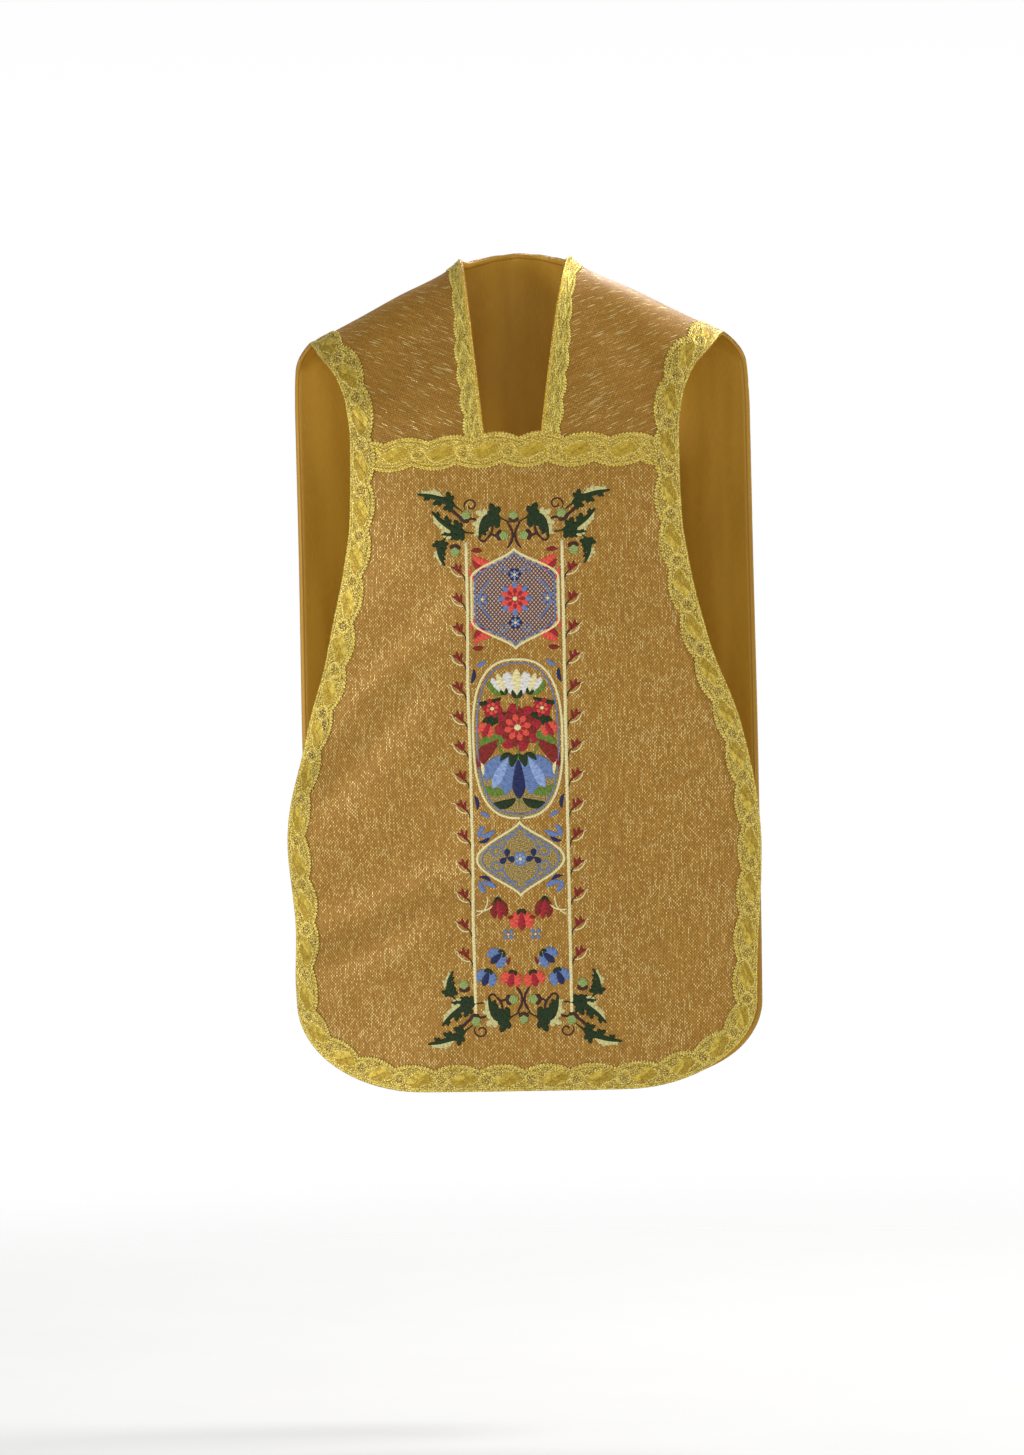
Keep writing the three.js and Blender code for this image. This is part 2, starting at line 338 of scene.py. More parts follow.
def cut_area(places, faces):
    """The area of cloth in square metres, as it was cut, before it was creased."""
    points = form(places[:, 0], places[:, 1]) * MM
    a, b, c, d = (points[faces[:, k]] for k in range(4))
    return float(np.linalg.norm(np.cross(c - a, d - b), axis=1).sum() / 2)


# --- Cloth panels ---------------------------------------------------------------------------------

CLOTH_CELL = 6.2
LINING_CELL = 9.0


def spaced(start, stop, step):
    return np.linspace(start, stop, max(2, math.ceil(abs(stop - start) / step) + 1))


def half_width(along):
    """Half the width of the cloth, with its round bottom corners."""
    from_hem = np.minimum(along, BACK_HEM - along)
    drop = np.clip(1 - from_hem / CORNER["height"], 0, 1)
    straight = row_at["half"](np.clip(along, CORNER["height"], BACK_HEM - CORNER["height"]))
    return straight - CORNER["width"] * (1 - np.sqrt(1 - drop**2))


def neck_edge(along):
    """Half the width of the neck opening, 0 where the cloth goes right across."""
    share = (RIDGE - along) / (RIDGE - BAND_TOP_PLACE)
    before = NECK["half_at_ridge"] + (NECK["half_at_band"] - NECK["half_at_ridge"]) * share
    behind = np.clip((along - RIDGE) / NECK["back_depth"], 0, 1)
    after = NECK["half_at_ridge"] * np.sqrt(1 - behind**2)
    return np.where(along < RIDGE, before, after)


def panel(rows, inner, cell):
    """Both halves of a panel as places and quads."""
    outer = half_width(rows)
    columns = math.ceil(outer.max() / cell) + 1
    share = np.linspace(0, 1, columns)
    across = inner[:, None] + (outer - inner)[:, None] * share
    along = np.repeat(rows[:, None], columns, axis=1)
    places = np.stack([across.ravel(), along.ravel()], axis=-1)
    faces = grid_faces(len(rows), columns)
    mirrored = faces[:, ::-1] + len(places)
    twin = places * np.array([-1, 1])
    return welded(np.concatenate([places, twin]) + 0.0, np.concatenate([faces, mirrored]))


def corner_rows(cell):
    """Distances from a hem, close together where the corner is nearly level."""
    angles = spaced(np.pi / 2, 0, cell / CORNER["width"])
    return CORNER["height"] * (1 - np.sin(angles))


def front_panel(cell):
    corner = corner_rows(cell)
    straight = spaced(CORNER["height"], SEAM_PLACE - SEAM_GAP / 2, cell)
    rows = np.append(corner, straight[1:])
    return panel(rows, np.zeros(len(rows)), cell)


def back_panel(cell):
    shoulder = spaced(SEAM_PLACE + SEAM_GAP / 2, RIDGE, cell)
    nape = RIDGE + NECK["back_depth"] * np.sin(spaced(0, np.pi / 2, cell / NECK["half_at_ridge"]))
    straight = spaced(nape[-1], BACK_HEM - CORNER["height"], cell)
    corner = BACK_HEM - corner_rows(cell)[::-1]
    rows = np.concatenate([shoulder, nape[1:], straight[1:], corner[1:]])
    inner = neck_edge(rows)
    inner[rows >= nape[-1] - 0.001] = 0
    return panel(rows, inner, cell)


# Marks the grain of the back panel, which is cut from another stretch of the cloth. The brocade also reads it to
# give the back and the shoulders other painted glints and dimmer painted highlights on the floats.
BACK_GRAIN = 400
# The shoulders' slope, about which the cloth is folded over to the front.
SHOULDER_SLOPE = np.array([1, -0.61]) / math.hypot(1, 0.61)


def grain_of(across, along):
    """Where a place lies on the uncut cloth: across its warp and along it."""
    away = np.abs(across)
    drop = row_at["fall"](along) * fall_at(away)
    hanging = np.stack([away, -np.abs(along - RIDGE) - drop], axis=-1)
    neck_point = np.array([NECK["half_at_ridge"], 0])
    offset = hanging - neck_point
    folded = neck_point + 2 * (offset @ SHOULDER_SLOPE)[:, None] * SHOULDER_SLOPE - offset
    on_front = along < SEAM_PLACE
    over = (along >= SEAM_PLACE) & (along < RIDGE)
    warp = np.where(over[:, None], folded, hanging)
    warp[:, 0] *= np.where(across < 0, -1, 1)
    return np.stack(
        [
            np.where(on_front, across, warp[:, 0]),
            np.where(on_front, along, warp[:, 1]),
            np.where(on_front, 0, BACK_GRAIN),
        ],
        axis=-1,
    )


def edge_distance(places, lines):
    """How far each place is from the nearest of some edge lines."""
    edge = np.concatenate(lines)[::3]
    nearest = np.full(len(places), np.inf)
    for start in range(0, len(places), 2000):
        chunk = places[start : start + 2000]
        shaded_gaps = np.hypot(
            np.abs(chunk[:, :1]) - edge[None, :, 0], chunk[:, 1:] - edge[None, :, 1]
        )
        nearest[start : start + 2000] = shaded_gaps.min(axis=1)
    return nearest


def shell(name, places, faces, wall, material, lines):
    """A sheet of cloth with a thickness, closed by a rim along its free edges."""
    count = len(places)
    points = np.concatenate([lifted(*places.T, wall["outer"]), lifted(*places.T, wall["inner"])])
    rim = [(b, a, a + count, b + count) for a, b in free_edges(faces)]
    cells = faces.tolist() + (faces[:, ::-1] + count).tolist() + rim
    grain = np.tile(grain_of(*places.T), (2, 1))
    edge = np.tile(edge_distance(places, lines), 2)
    return make_piece(name, points, cells, [material], grain=grain, edge=edge)


# --- Edge lines -----------------------------------------------------------------------------------

LINE_STEP = 1.1


def resampled(line):
    """An edge line with even steps along the cloth."""
    steps = np.linalg.norm(np.diff(form(*line.T), axis=0), axis=1)
    place = np.append(0, np.cumsum(steps))
    even = np.linspace(0, place[-1], round(place[-1] / LINE_STEP) + 1)
    return np.stack([np.interp(even, place, line[:, k]) for k in range(2)], axis=-1), even


def outer_line():
    """The outer edge at +X, from the middle of the front hem to the middle of the back hem."""
    corner = CORNER["height"] * (1 - np.sin(spaced(np.pi / 2, 0, 0.01)))
    side = spaced(CORNER["height"], BACK_HEM - CORNER["height"], 1)
    along = np.concatenate([corner, side[1:], BACK_HEM - corner[::-1][1:]])
    across = half_width(along)
    hem = np.stack([spaced(0, across[0], 1), np.zeros(len(spaced(0, across[0], 1)))], axis=-1)
    far_hem = hem[::-1] + np.array([0, BACK_HEM])
    far_hem[:, 0] *= across[-1] / across[0]
    edge = np.stack([across, along], axis=-1)
    return np.concatenate([hem[:-1], edge, far_hem[1:]])


def neck_line(start):
    """The edge of the neck opening at +X, from a place above the band to the nape's middle."""
    before = spaced(start, RIDGE, 1)
    angles = spaced(0, np.pi / 2, 0.01)
    nape = RIDGE + NECK["back_depth"] * np.sin(angles)
    straight = np.stack([neck_edge(before), before], axis=-1)
    around = np.stack([NECK["half_at_ridge"] * np.cos(angles), nape], axis=-1)
    return np.concatenate([straight, around[1:]])


def inset(line, distances, side):
    """Places at distances in from each point of an edge line. `side` is 1 where the cloth lies
    to the left of the line's heading, and -1 where it lies to the right."""
    step = 0.5
    across, along = line.T
    low = np.maximum(along - step, 0)
    high = np.minimum(along + step, BACK_HEM)
    across_run = form(across + step, along) - form(across - step, along)
    across_scale = np.linalg.norm(across_run, axis=1) / (2 * step)
    along_scale = np.linalg.norm(form(across, high) - form(across, low), axis=1) / (high - low)
    heading = np.gradient(line, axis=0)
    dx = heading[:, 0] * across_scale
    ds = heading[:, 1] * along_scale
    reach = side / np.hypot(dx, ds)
    inward = np.stack([-ds * reach / across_scale, dx * reach / along_scale], axis=-1)
    return line[:, None, :] + inward[:, None, :] * distances[..., None]


# --- Lace -----------------------------------------------------------------------------------------

LACE_PERIOD = 57
LACE_SCALLOP = 7.0
PICOT = {"spacing": 4.4, "height": 2.1}
LACE_BASE = 0.25
LACE_GROUND = 0.75
LACE_COLUMN = 0.95


def cord(distance, half):
    """The round profile of a cord: 1 on its line and 0 at its sides."""
    return np.sqrt(np.clip(1 - (distance / half) ** 2, 0, 1))


def dent(distance, half):
    """A hole's profile: 1 inside and 0 outside, with a soft rim."""
    return smooth((half - distance) / half * 1.6)


def net(s, w):
    """The knotted net between the lace's cords."""
    return np.sin((s + w) * np.pi / 2.1) * np.sin((s - w) * np.pi / 2.1)


def phase_of(s, period):
    return (s / period) % 1


def scallop(s, period, depth):
    """How far a scalloped edge runs in from its lobes' tips, with a picot on each thread loop."""
    lobe = depth * (2 * phase_of(s, period) - 1) ** 2
    return lobe - PICOT["height"] * np.abs(np.sin(np.pi * s / PICOT["spacing"]))


def rosette(ds, dw):
    """A ring with seven eyelets in it: its cords and its holes."""
    radius = np.hypot(ds, dw)
    ring = np.maximum(cord(radius - 8.6, 1.3), 0.75 * cord(radius - 6.2, 0.9))
    holes = dent(radius, 1.7)
    for k in range(6):
        angle = k * np.pi / 3 + 0.3
        there = np.hypot(ds - 4.1 * np.cos(angle), dw - 4.1 * np.sin(angle))
        holes = np.maximum(holes, dent(there, 1.6))
    return ring, holes


LEAF = {"half_length": 18.5, "half_width": 9.4, "curl": 2.4, "slant": 0.6}


def satin_leaf(ds, dw):
    """A broad pointed leaf of flat metal thread: how far in a place is, its rim cord, its vein
    and its bright half. The two halves of a leaf are stitched in different directions, and the bright half is a
    painted sheen where that stitching catches the light."""
    t = np.clip(ds / LEAF["half_length"], -1, 1)
    aside = dw - LEAF["curl"] * np.sin(t * np.pi) + 0.7 * np.sin(ds / 2.9) * np.sin(dw / 3.3)
    bound = LEAF["half_width"] * np.cos(t * np.pi / 2) ** 0.75
    inside = smooth((bound - np.abs(aside)) / 1.1)
    rim = cord(bound - np.abs(aside) + 0.7, 1.2) * (np.abs(ds) < LEAF["half_length"] + 1)
    slant = aside - LEAF["slant"] * ds + 1.4 * np.sin(ds / 5)
    vein = inside * (1 - smooth(np.abs(slant) / 1.3))
    bright = inside * smooth(slant / 7 + 0.5)
    return inside, rim, vein, bright


def trim(distance, s):
    """The scalloped side of a lace by the distance in from it: picots, cords and small holes."""
    knob = np.abs(np.sin(np.pi * s / PICOT["spacing"]))
    picot = (0.3 + 0.7 * knob) * cord(distance - 1.3, 2.1)
    rope = 0.9 * cord(distance - 3.9, 1.0)
    arch = 0.75 * cord(distance - 8.0, 0.9)
    gap = np.abs((s / 3.3 + 0.5) % 1 - 0.5) * 3.3
    holes = dent(np.hypot(gap, distance - 6.0), 1.2)
    return np.maximum(np.maximum(picot, rope), arch), holes


def layered(ground, *ridges):
    height = ground
    for ridge in ridges:
        height = np.maximum(height, ridge)
    return height


def motifs(s, w, period, middle):
    """The row of rosettes and satin leaves along a lace: ridges, holes, satin and its painted light and shade."""
    along = phase_of(s, period) * period
    near_rosette = (along - 0.15 * period + period / 2) % period - period / 2
    near_leaf = (along - 0.64 * period + period / 2) % period - period / 2
    ring, holes = rosette(near_rosette, w - middle)
    inside, rim, vein, bright = satin_leaf(near_leaf, w - middle)
    ridges = layered(0.9 * ring, 0.8 * rim, 0.5 * inside - 0.4 * vein)
    # the leaf's bright half is a painted sheen, its vein a painted shade in its groove, and its stitch ribs
    # painted light and shade
    ribs = 0.5 + 0.5 * np.sin((near_leaf + 1.3 * (w - middle)) * np.pi / 1.3)
    satin_tone = 0.42 + 0.2 * bright + 0.12 * ribs - 0.25 * vein
    return ridges, holes, inside, satin_tone


def finished(ridges, holes, satin, satin_tone, weave, recess_shade=0.34):
    """Lift, painted shading and satin of a lace's upper face: painted shade in its recesses and holes, and painted
    highlights on its raised cords.
    """
    relief = np.maximum(ridges, 0.2 + 0.16 * weave)
    lift = LACE_GROUND + 0.9 * relief
    lift = lift + (LACE_BASE + 0.1 - lift) * holes
    # painted shade: the lower the relief, the darker, and holes darker still
    tone = recess_shade + (0.92 - recess_shade) * relief
    tone = tone + (satin_tone - tone) * satin
    return lift, tone * (1 - 0.6 * holes), satin * (1 - holes)


def edge_reach(s, period):
    """The edge lace's width at a distance along it."""
    return EDGE_LACE_WIDTH - scallop(s, period, LACE_SCALLOP)


def edge_pattern(s, w, reach, period):
    ridges, holes, satin, satin_tone = motifs(s, w, period, 15)
    trim_ridges, trim_holes = trim(reach - w, s)
    beads = (0.75 + 0.25 * np.sin(2 * np.pi * s / 3.3)) * cord(w - 1.6, 1.7)
    rope = 0.8 * cord(w - 4.6, 0.9)
    satin = satin * (reach - w > 5) * (w > 5.2)
    ridges = layered(ridges, trim_ridges, beads, rope)
    return finished(ridges, np.maximum(holes, trim_holes), satin, satin_tone, net(s, w))


NECK_PERIOD = 38
NECK_FOLD = 4.2


def neck_reach(s):
    return NECK_LACE_WIDTH - scallop(s, NECK_PERIOD, 3.8)


def neck_pattern(s, w, reach):
    fold = cord(w - NECK_FOLD / 2, NECK_FOLD / 2 + 0.2)
    strings = np.zeros(np.broadcast(s, w).shape)
    for k in range(7):
        wander = 1.1 * np.sin(s / (3.7 + 0.6 * k) + 1.9 * k)
        strength = 0.5 + 0.42 * np.sin(s / (4.3 + 0.8 * k) + 2.3 * k)
        strings = np.maximum(strings, strength * cord(w - 6.0 - 2.2 * k - wander, 1.1))
    trim_ridges, trim_holes = trim((reach - w) * 1.15, s)
    near_edge = reach - w < 5.5
    ridges = layered(fold, strings * ~near_edge, trim_ridges * near_edge)
    none = np.zeros(strings.shape)
    return finished(ridges, trim_holes * near_edge, none, none, net(s, w), 0.16)


BAND = {"low": 21.5, "high": 20.5, "low_shift": 13, "high_shift": -8}


def band_sides(s):
    low = BAND["low"] - scallop(s + BAND["low_shift"], LACE_PERIOD, LACE_SCALLOP)
    high = BAND["high"] - scallop(s + BAND["high_shift"], LACE_PERIOD, LACE_SCALLOP)
    return low, high


def band_pattern(s, w, low, high):
    run = s + BAND["low_shift"]
    ridges, holes, satin, satin_tone = motifs(run, w, LACE_PERIOD, -0.5)
    low_ridges, low_holes = trim(w + low, run)
    high_ridges, high_holes = trim(high - w, s + BAND["high_shift"])
    satin = satin * (w + low > 5) * (high - w > 5)
    ridges = layered(ridges, low_ridges, high_ridges)
    holes = np.maximum(holes, np.maximum(low_holes, high_holes))
    return finished(ridges, holes, satin, 0.85 * satin_tone, net(s, w))


def ribbon_piece(name, places, lift, base, materials, face_material=None, **attributes):
    """A closed strip. places is a grid of (station, column), with columns to the left of the
    stations' heading, and base the lift of its flat underside."""
    stations, columns = lift.shape
    across, along = places[..., 0], places[..., 1]
    top = lifted(across, along, lift).reshape(-1, 3)
    ends = places[:, [0, -1]]
    under = lifted(ends[..., 0], ends[..., 1], np.broadcast_to(base, (stations, 1)))
    i = np.arange(stations - 1)[:, None] * columns + np.arange(columns - 1)[None, :]
    upper = np.stack([i, i + columns, i + columns + 1, i + 1], axis=-1).reshape(-1, 4)
    j = np.arange(stations - 1)
    left_under = len(top) + 2 * j + 1
    right_under = len(top) + 2 * j
    left_top = j * columns + columns - 1
    right_top = j * columns
    rims = [
        np.stack([right_top, right_under, right_under + 2, right_top + columns], axis=-1),
        np.stack([left_top, left_top + columns, left_under + 2, left_under], axis=-1),
        np.stack([right_under, left_under, left_under + 2, right_under + 2], axis=-1),
    ]
    faces = np.concatenate([upper, *rims]).tolist()
    last = (stations - 1) * columns
    faces.append([*range(columns), len(top) + 1, len(top)])
    faces.append([*range(last, last + columns)][::-1] + [len(top) + 2 * stations - 2, len(top) + 2 * stations - 1])
    points = np.concatenate([top, under.reshape(-1, 3)])
    spread = {}
    for key, values in attributes.items():
        flat = values.reshape(len(top), -1)
        edge = values[:, [0, -1]].reshape(2 * stations, -1)
        # the underside's points get a painted shading of 0: painted shade down the strip's side walls
        both = np.concatenate([flat, 0 * edge if key == "tone" else edge])
        spread[key] = both[:, 0] if values.ndim == 2 else both
    face_materials = None
    if face_material is not None:
        cell = face_material[:-1, :-1].ravel()
        first, final = face_material[:-1, 0], face_material[:-1, -1]
        face_materials = np.concatenate([cell, first, final, final, [0, 0]]).astype(np.int32)
    return make_piece(name, points, faces, materials, face_materials, **spread)


def threads_of(s, w, satin):
    return np.stack(np.broadcast_arrays(s, w, satin), axis=-1)


def over_band(along):
    """How far a lace rises where it crosses the ends of the chest band."""
    middle = (BAND_TOP_PLACE + BAND_FOOT_PLACE) / 2
    return 0.9 * smooth((38 - np.abs(along - middle)) / 16)


def add_edge_lace(material):
    line, s = resampled(outer_line())
    period = s[-1] / round(s[-1] / LACE_PERIOD)
    columns = round(EDGE_LACE_WIDTH / LACE_COLUMN) + 1
    made = []
    for name, side in (("edge_lace_right", 1), ("edge_lace_left", -1)):
        run = side * s
        reach = edge_reach(run, period)
        w = reach[:, None] * np.linspace(0, 1, columns)
        places = inset(line, w, 1)
        lift, tone, satin = edge_pattern(run[:, None], w, reach[:, None], period)
        thread = threads_of(run[:, None], w, satin)
        rise = over_band(line[:, 1])[:, None]
        if side < 0:
            places = places[::-1] * np.array([-1, 1])
            lift, tone, thread, rise = lift[::-1], tone[::-1], thread[::-1], rise[::-1]
        made.append(
            ribbon_piece(
                name, places, lift + rise, LACE_BASE + rise, [material], tone=tone, thread=thread
            )
        )
    return made, s[-1]


def add_neck_lace(lace, binding):
    line, s = resampled(neck_line(BAND_TOP_PLACE - 8))
    line = np.concatenate([line * np.array([-1, 1]), line[::-1][1:]])
    length = 2 * s[-1]
    s = np.linspace(0, length, len(line))
    reach = neck_reach(s)
    columns = round(NECK_LACE_WIDTH / LACE_COLUMN) + 1
    share = np.linspace(0, 1, columns)
    w = reach[:, None] * share
    places = inset(line, w, 1)
    lift, tone, satin = neck_pattern(s[:, None], w, reach[:, None])
    folds = (w + 0.4 < NECK_FOLD).astype(np.int32)
    piece = ribbon_piece(
        "neck_lace_strip", places, lift, LACE_BASE, [lace, binding],
        face_material=folds, tone=tone, thread=threads_of(s[:, None], w, satin),
    )
    return piece, length


BAND_OVERLAP = 12


def add_band(material):
    reach = float(row_at["half"](SEAM_PLACE)) - EDGE_LACE_WIDTH + BAND_OVERLAP
    across = spaced(-reach, reach, LINE_STEP)
    columns = round((BAND["low"] + BAND["high"]) / LACE_COLUMN) + 1
    low, high = band_sides(across)
    w = -low[:, None] + (low + high)[:, None] * np.linspace(0, 1, columns)
    middle = (BAND_TOP_PLACE + BAND_FOOT_PLACE) / 2
    places = np.stack([np.repeat(across[:, None], columns, axis=1), middle + w], axis=-1)
    lift, tone, satin = band_pattern(across[:, None], w, low[:, None], high[:, None])
    crossing = smooth((32 - np.abs(np.abs(across) - 50)) / 12)[:, None]
    rise = 1.3 * crossing * smooth((w + 2) / 12)
    covered = smooth((np.abs(across) - reach + BAND_OVERLAP + 2) / 4)[:, None]
    lift = lift + (0.55 - 0.5 * lift) * covered
    base = LACE_BASE + 0 * across[:, None]
    return ribbon_piece(
        "chest_band_strip", places, lift + rise, base, [material],
        tone=tone, thread=threads_of(across[:, None], w, satin),
    ), 2 * reach


# --- Embroidery -----------------------------------------------------------------------------------

# Cross-sections of a stitched shape: share of its half width, share of its height.
SATIN = np.array([(-1, 0), (-0.85, 0.55), (-0.45, 0.92), (0, 1), (0.45, 0.92), (0.85, 0.55), (1, 0)])
FLAT = np.array([(-1, 0), (-0.985, 1)] + [(x, 1) for x in np.linspace(-0.9, 0.9, 19)] + [(0.985, 1), (1, 0)])
LINE = np.array([(-1, 0), (-0.5, 0.85), (0.5, 0.85), (1, 0)])
LEAST_WIDTH = 0.15


class Stitching:
    """Stitched shapes that make one piece. Paths and widths are millimetres on the front cloth,
    from `centre`, and `mirror` turns them over sideways and upright."""

    def __init__(self, threads):
        self.threads = threads
        self.places, self.lifts, self.runs, self.faces, self.colours = [], [], [], [], []
        self.count = 0
        self.centre = (0, 0)
        self.mirror = (1, 1)

    def add(self, thread, path, left, right=None, crown=0.9, base=0.05, section=SATIN, sweep=0):
        path = np.asarray(path, float) * self.mirror + self.centre
        right = left if right is None else right
        if self.mirror[0] * self.mirror[1] < 0:
            left, right = right, left
        sides = [np.maximum(np.broadcast_to(x, len(path)), LEAST_WIDTH) for x in (right, left)]
        heading = np.gradient(path, axis=0)
        heading /= np.linalg.norm(heading, axis=1, keepdims=True)
        normal = np.stack([-heading[:, 1], heading[:, 0]], axis=-1)
        offset, height = section.T
        width = np.where(offset < 0, sides[0][:, None], sides[1][:, None])
        reach = (width * offset)[..., None]
        places = path[:, None] + normal[:, None] * reach + heading[:, None] * np.abs(reach) * sweep
        steps = np.append(0, np.cumsum(np.linalg.norm(np.diff(path, axis=0), axis=1)))
        bulk = np.minimum(1, (sides[0] + sides[1]) / 2.4)[:, None]
        m, n = len(section), len(path)
        self.places.append(places.reshape(-1, 2))
        self.lifts.append((base + crown * bulk * height).ravel())
        run = np.stack(np.broadcast_arrays(steps[:, None], width * offset, 0.0), axis=-1)
        self.runs.append(run.reshape(-1, 3))
        i = np.arange(n - 1)[:, None] * m
        k = np.arange(m)
        after = (k + 1) % m
        quads = np.stack([i + k, i + m + k, i + m + after, i + after], axis=-1).reshape(-1, 4)
        ends = [list(range(m)), list(range((n - 1) * m, n * m))[::-1]]
        faces = [[v + self.count for v in face] for face in quads.tolist() + ends]
        self.faces += faces
        self.colours += [list(self.threads).index(thread)] * len(faces)
        self.count += n * m

    def piece(self, name):
        places = np.concatenate(self.places)
        points = lifted(places[:, 0], places[:, 1], np.concatenate(self.lifts))
        runs = np.concatenate(self.runs)
        return make_piece(
            name, points, self.faces, list(self.threads.values()), self.colours, thread=runs
        )


def bow(start, end, bend=0.0, count=14):
    """A bent line between two points; `bend` is how far its middle goes to the left."""
    start, end = np.array(start, float), np.array(end, float)
    t = np.linspace(0, 1, count)[:, None]
    run = end - start
    left = np.array([-run[1], run[0]]) / np.hypot(*run)
    return start + run * t + left * bend * 4 * t * (1 - t)


def spiral(centre, first, last, start, sweep, count=30):
    """A line that winds round a centre from one radius to another; angles in degrees."""
    t = np.linspace(0, 1, count)
    angle = np.radians(start + sweep * t)
    radius = first + (last - first) * t
    return np.stack([centre[0] + radius * np.cos(angle), centre[1] + radius * np.sin(angle)], axis=-1)


def stem(work, thread, path, half=1.0):
    taper = np.minimum(1, np.linspace(0, 1, len(path)) * 6 + 0.4)
    work.add(thread, path, half * taper * taper[::-1])


def petal(work, thread, start, end, half, bend=0.0, fullness=1.0, base=0.05, count=14):
    """A drop-shaped stitched blade, broadest past its middle when fullness is over 1."""
    path = bow(start, end, bend, count)
    t = np.linspace(0, 1, count)
    work.add(thread, path, half * np.sin(np.pi * t**fullness) ** 0.7, base=base)


# The knobs of an oak leaf's lobe: turn from the lobe's way, length and half width as shares.
KNOBS = ((0.62, 0.72, 0.19), (-0.62, 0.72, 0.19), (0, 1, 0.22))


def lobe(work, thread, foot, way, size, base):
    """A lobe with three round knobs."""
    for turn, length, half in KNOBS:
        c, s = math.cos(turn), math.sin(turn)
        aim = np.array([way[0] * c - way[1] * s, way[0] * s + way[1] * c])
        end = foot + aim * size * length
        petal(work, thread, foot, end, size * half, 0, 1.7, base, 9)


def oak_leaf(work, start, end, half, lobes, bend, pale, stalk=0.16, fold=0.42):
    """A dark lobed leaf. Past its fold the side `pale` is turned over: left for 1, right for -1."""
    path = bow(start, end, bend, 41)
    t = np.linspace(0, 1, len(path))
    heading = np.gradient(path, axis=0)
    heading /= np.linalg.norm(heading, axis=1, keepdims=True)
    left = np.stack([-heading[:, 1], heading[:, 0]], axis=-1)
    for k in range(lobes):
        for side in (1, -1):
            share = stalk + (1 - stalk) * (k + 0.35 + 0.16 * side) / lobes
            i = int(share * 40)
            size = half * (0.62 + 0.38 * math.sin(math.pi * (share * 0.95 + 0.1))) * (1.1 - 0.5 * share)
            turned = side == pale and share > fold
            thread = "pale_leaf" if turned else "forest"
            way = heading[i] * 0.62 + left[i] * side * 0.78
            lobe(work, thread, path[i], way, size, 0.05 if turned else 0.3)
    body = np.clip((t - stalk) / 0.12, 0, 1) * (1 - t) ** 0.6
    work.add("forest", path, 0.9 + 0.3 * half * body, base=0.45)
    start, end = path[int(fold * 40)], path[-2]
    petal(work, "pale_leaf", start, end, 0.32 * half, pale * 0.3 * half, 0.8, 0.15)


def acorn(work, place, angle, size):
    """A pale green nut in a brown cup. The angle, in degrees, is where the nut points."""
    way = np.array([math.cos(math.radians(angle)), math.sin(math.radians(angle))])
    for thread, back, front, half, base in (("brown", -1.0, 0.3, 1, 0.3), ("nut", -0.4, 1.3, 0.9, 0.5)):
        t = np.sin(np.linspace(-1, 1, 13) * np.pi / 2)
        middle, reach = (front + back) / 2, (front - back) / 2
        path = place + way * size * (middle + reach * t[:, None])
        work.add(thread, path, half * size * np.sqrt(1 - 0.996 * t**2), crown=1.3, base=base)


def blossom(work, centre, petals, heart, threads, turn=0.0):
    """Rings of petals round a heart. threads gives (thread, length, half width), outside in."""
    centre = np.array(centre, float)
    for layer, (thread, length, half) in enumerate(threads):
        for k in range(petals):
            angle = turn + (k + 0.5 * (layer % 2)) * 2 * np.pi / petals
            way = np.array([math.cos(angle), math.sin(angle)])
            start, end = centre + way * heart, centre + way * length
            petal(work, thread, start, end, half, 0, 1.35, 0.1 + 0.28 * layer)
    across = np.array([heart, 0])
    path = bow(centre - across, centre + across, 0, 9)
    work.add("cream", path, heart * np.sqrt(1 - 0.97 * np.linspace(-1, 1, 9) ** 2), crown=1.7)


def bell(work, foot, tip, half, outer, inner):
    """A hanging flower: two broad petals, a third over them and a green cup."""
    foot, tip = np.array(foot, float), np.array(tip, float)
    run = tip - foot
    left = np.array([-run[1], run[0]]) / np.hypot(*run)
    for side in (1, -1):
        end = tip + left * side * half * 0.75 - run * 0.1
        petal(work, outer, foot, end, half * 0.55, side * half * 0.3, 1.3, 0.1)
    petal(work, inner, foot + run * 0.05, tip, half * 0.42, 0, 1.3, 0.4)
    for side in (1, -1):
        petal(work, "forest", foot - run * 0.05, foot + run * 0.26 + left * side * half * 0.4,
              half * 0.2, side * half * 0.1, 1.0, 0.6)


def both_sides(work):
    for side in (1, -1):
        work.mirror = (side, 1)
        yield side
    work.mirror = (1, 1)


def four_ways(work):
    for side in (1, -1):
        for end in (1, -1):
            work.mirror = (side, end)
            yield
    work.mirror = (1, 1)


# The embroidered column, in millimetres from the garment's middle and from its front hem.
RAIL = {"across": 60, "foot": 95, "top": 687, "half": 2.1}
SPRAYS = {"foot": 119, "top": 690}
SPRIG = {"count": 14, "first": 168, "spacing": 37}


def border(threads):
    """The rails and the row of bud sprigs outside each."""
    work = Stitching(threads)
    for _ in both_sides(work):
        rail = bow((RAIL["across"], RAIL["foot"]), (RAIL["across"], RAIL["top"]), 0, 60)
        work.add("cream", rail, RAIL["half"], crown=1.1)
        for k in range(SPRIG["count"]):
            work.centre = (0, SPRIG["first"] + SPRIG["spacing"] * k)
            x = RAIL["across"] + RAIL["half"]
            stem(work, "brown", bow((x, -12), (x + 9, 2), 2.5, 12), 0.8)
            stem(work, "cream", bow((x + 3, -5), (x + 18, 5), -3.2, 14), 0.9)
            stem(work, "cream", bow((x + 17, 4.6), (x + 22, 8), 1, 6), 0.6)
            petal(work, "dark_red", (x + 5, -3), (x + 4.5, 11), 1.9, -1.6, 1.3)
            petal(work, "dark_red", (x + 7, -1), (x + 11.5, 12.5), 2.1, -1.4, 1.3)
            petal(work, "dark_red", (x + 8, -0.5), (x + 18.5, 7), 1.7, 2.2, 1.3)
        work.centre = (0, 0)
    return work.piece("embroidered_border")


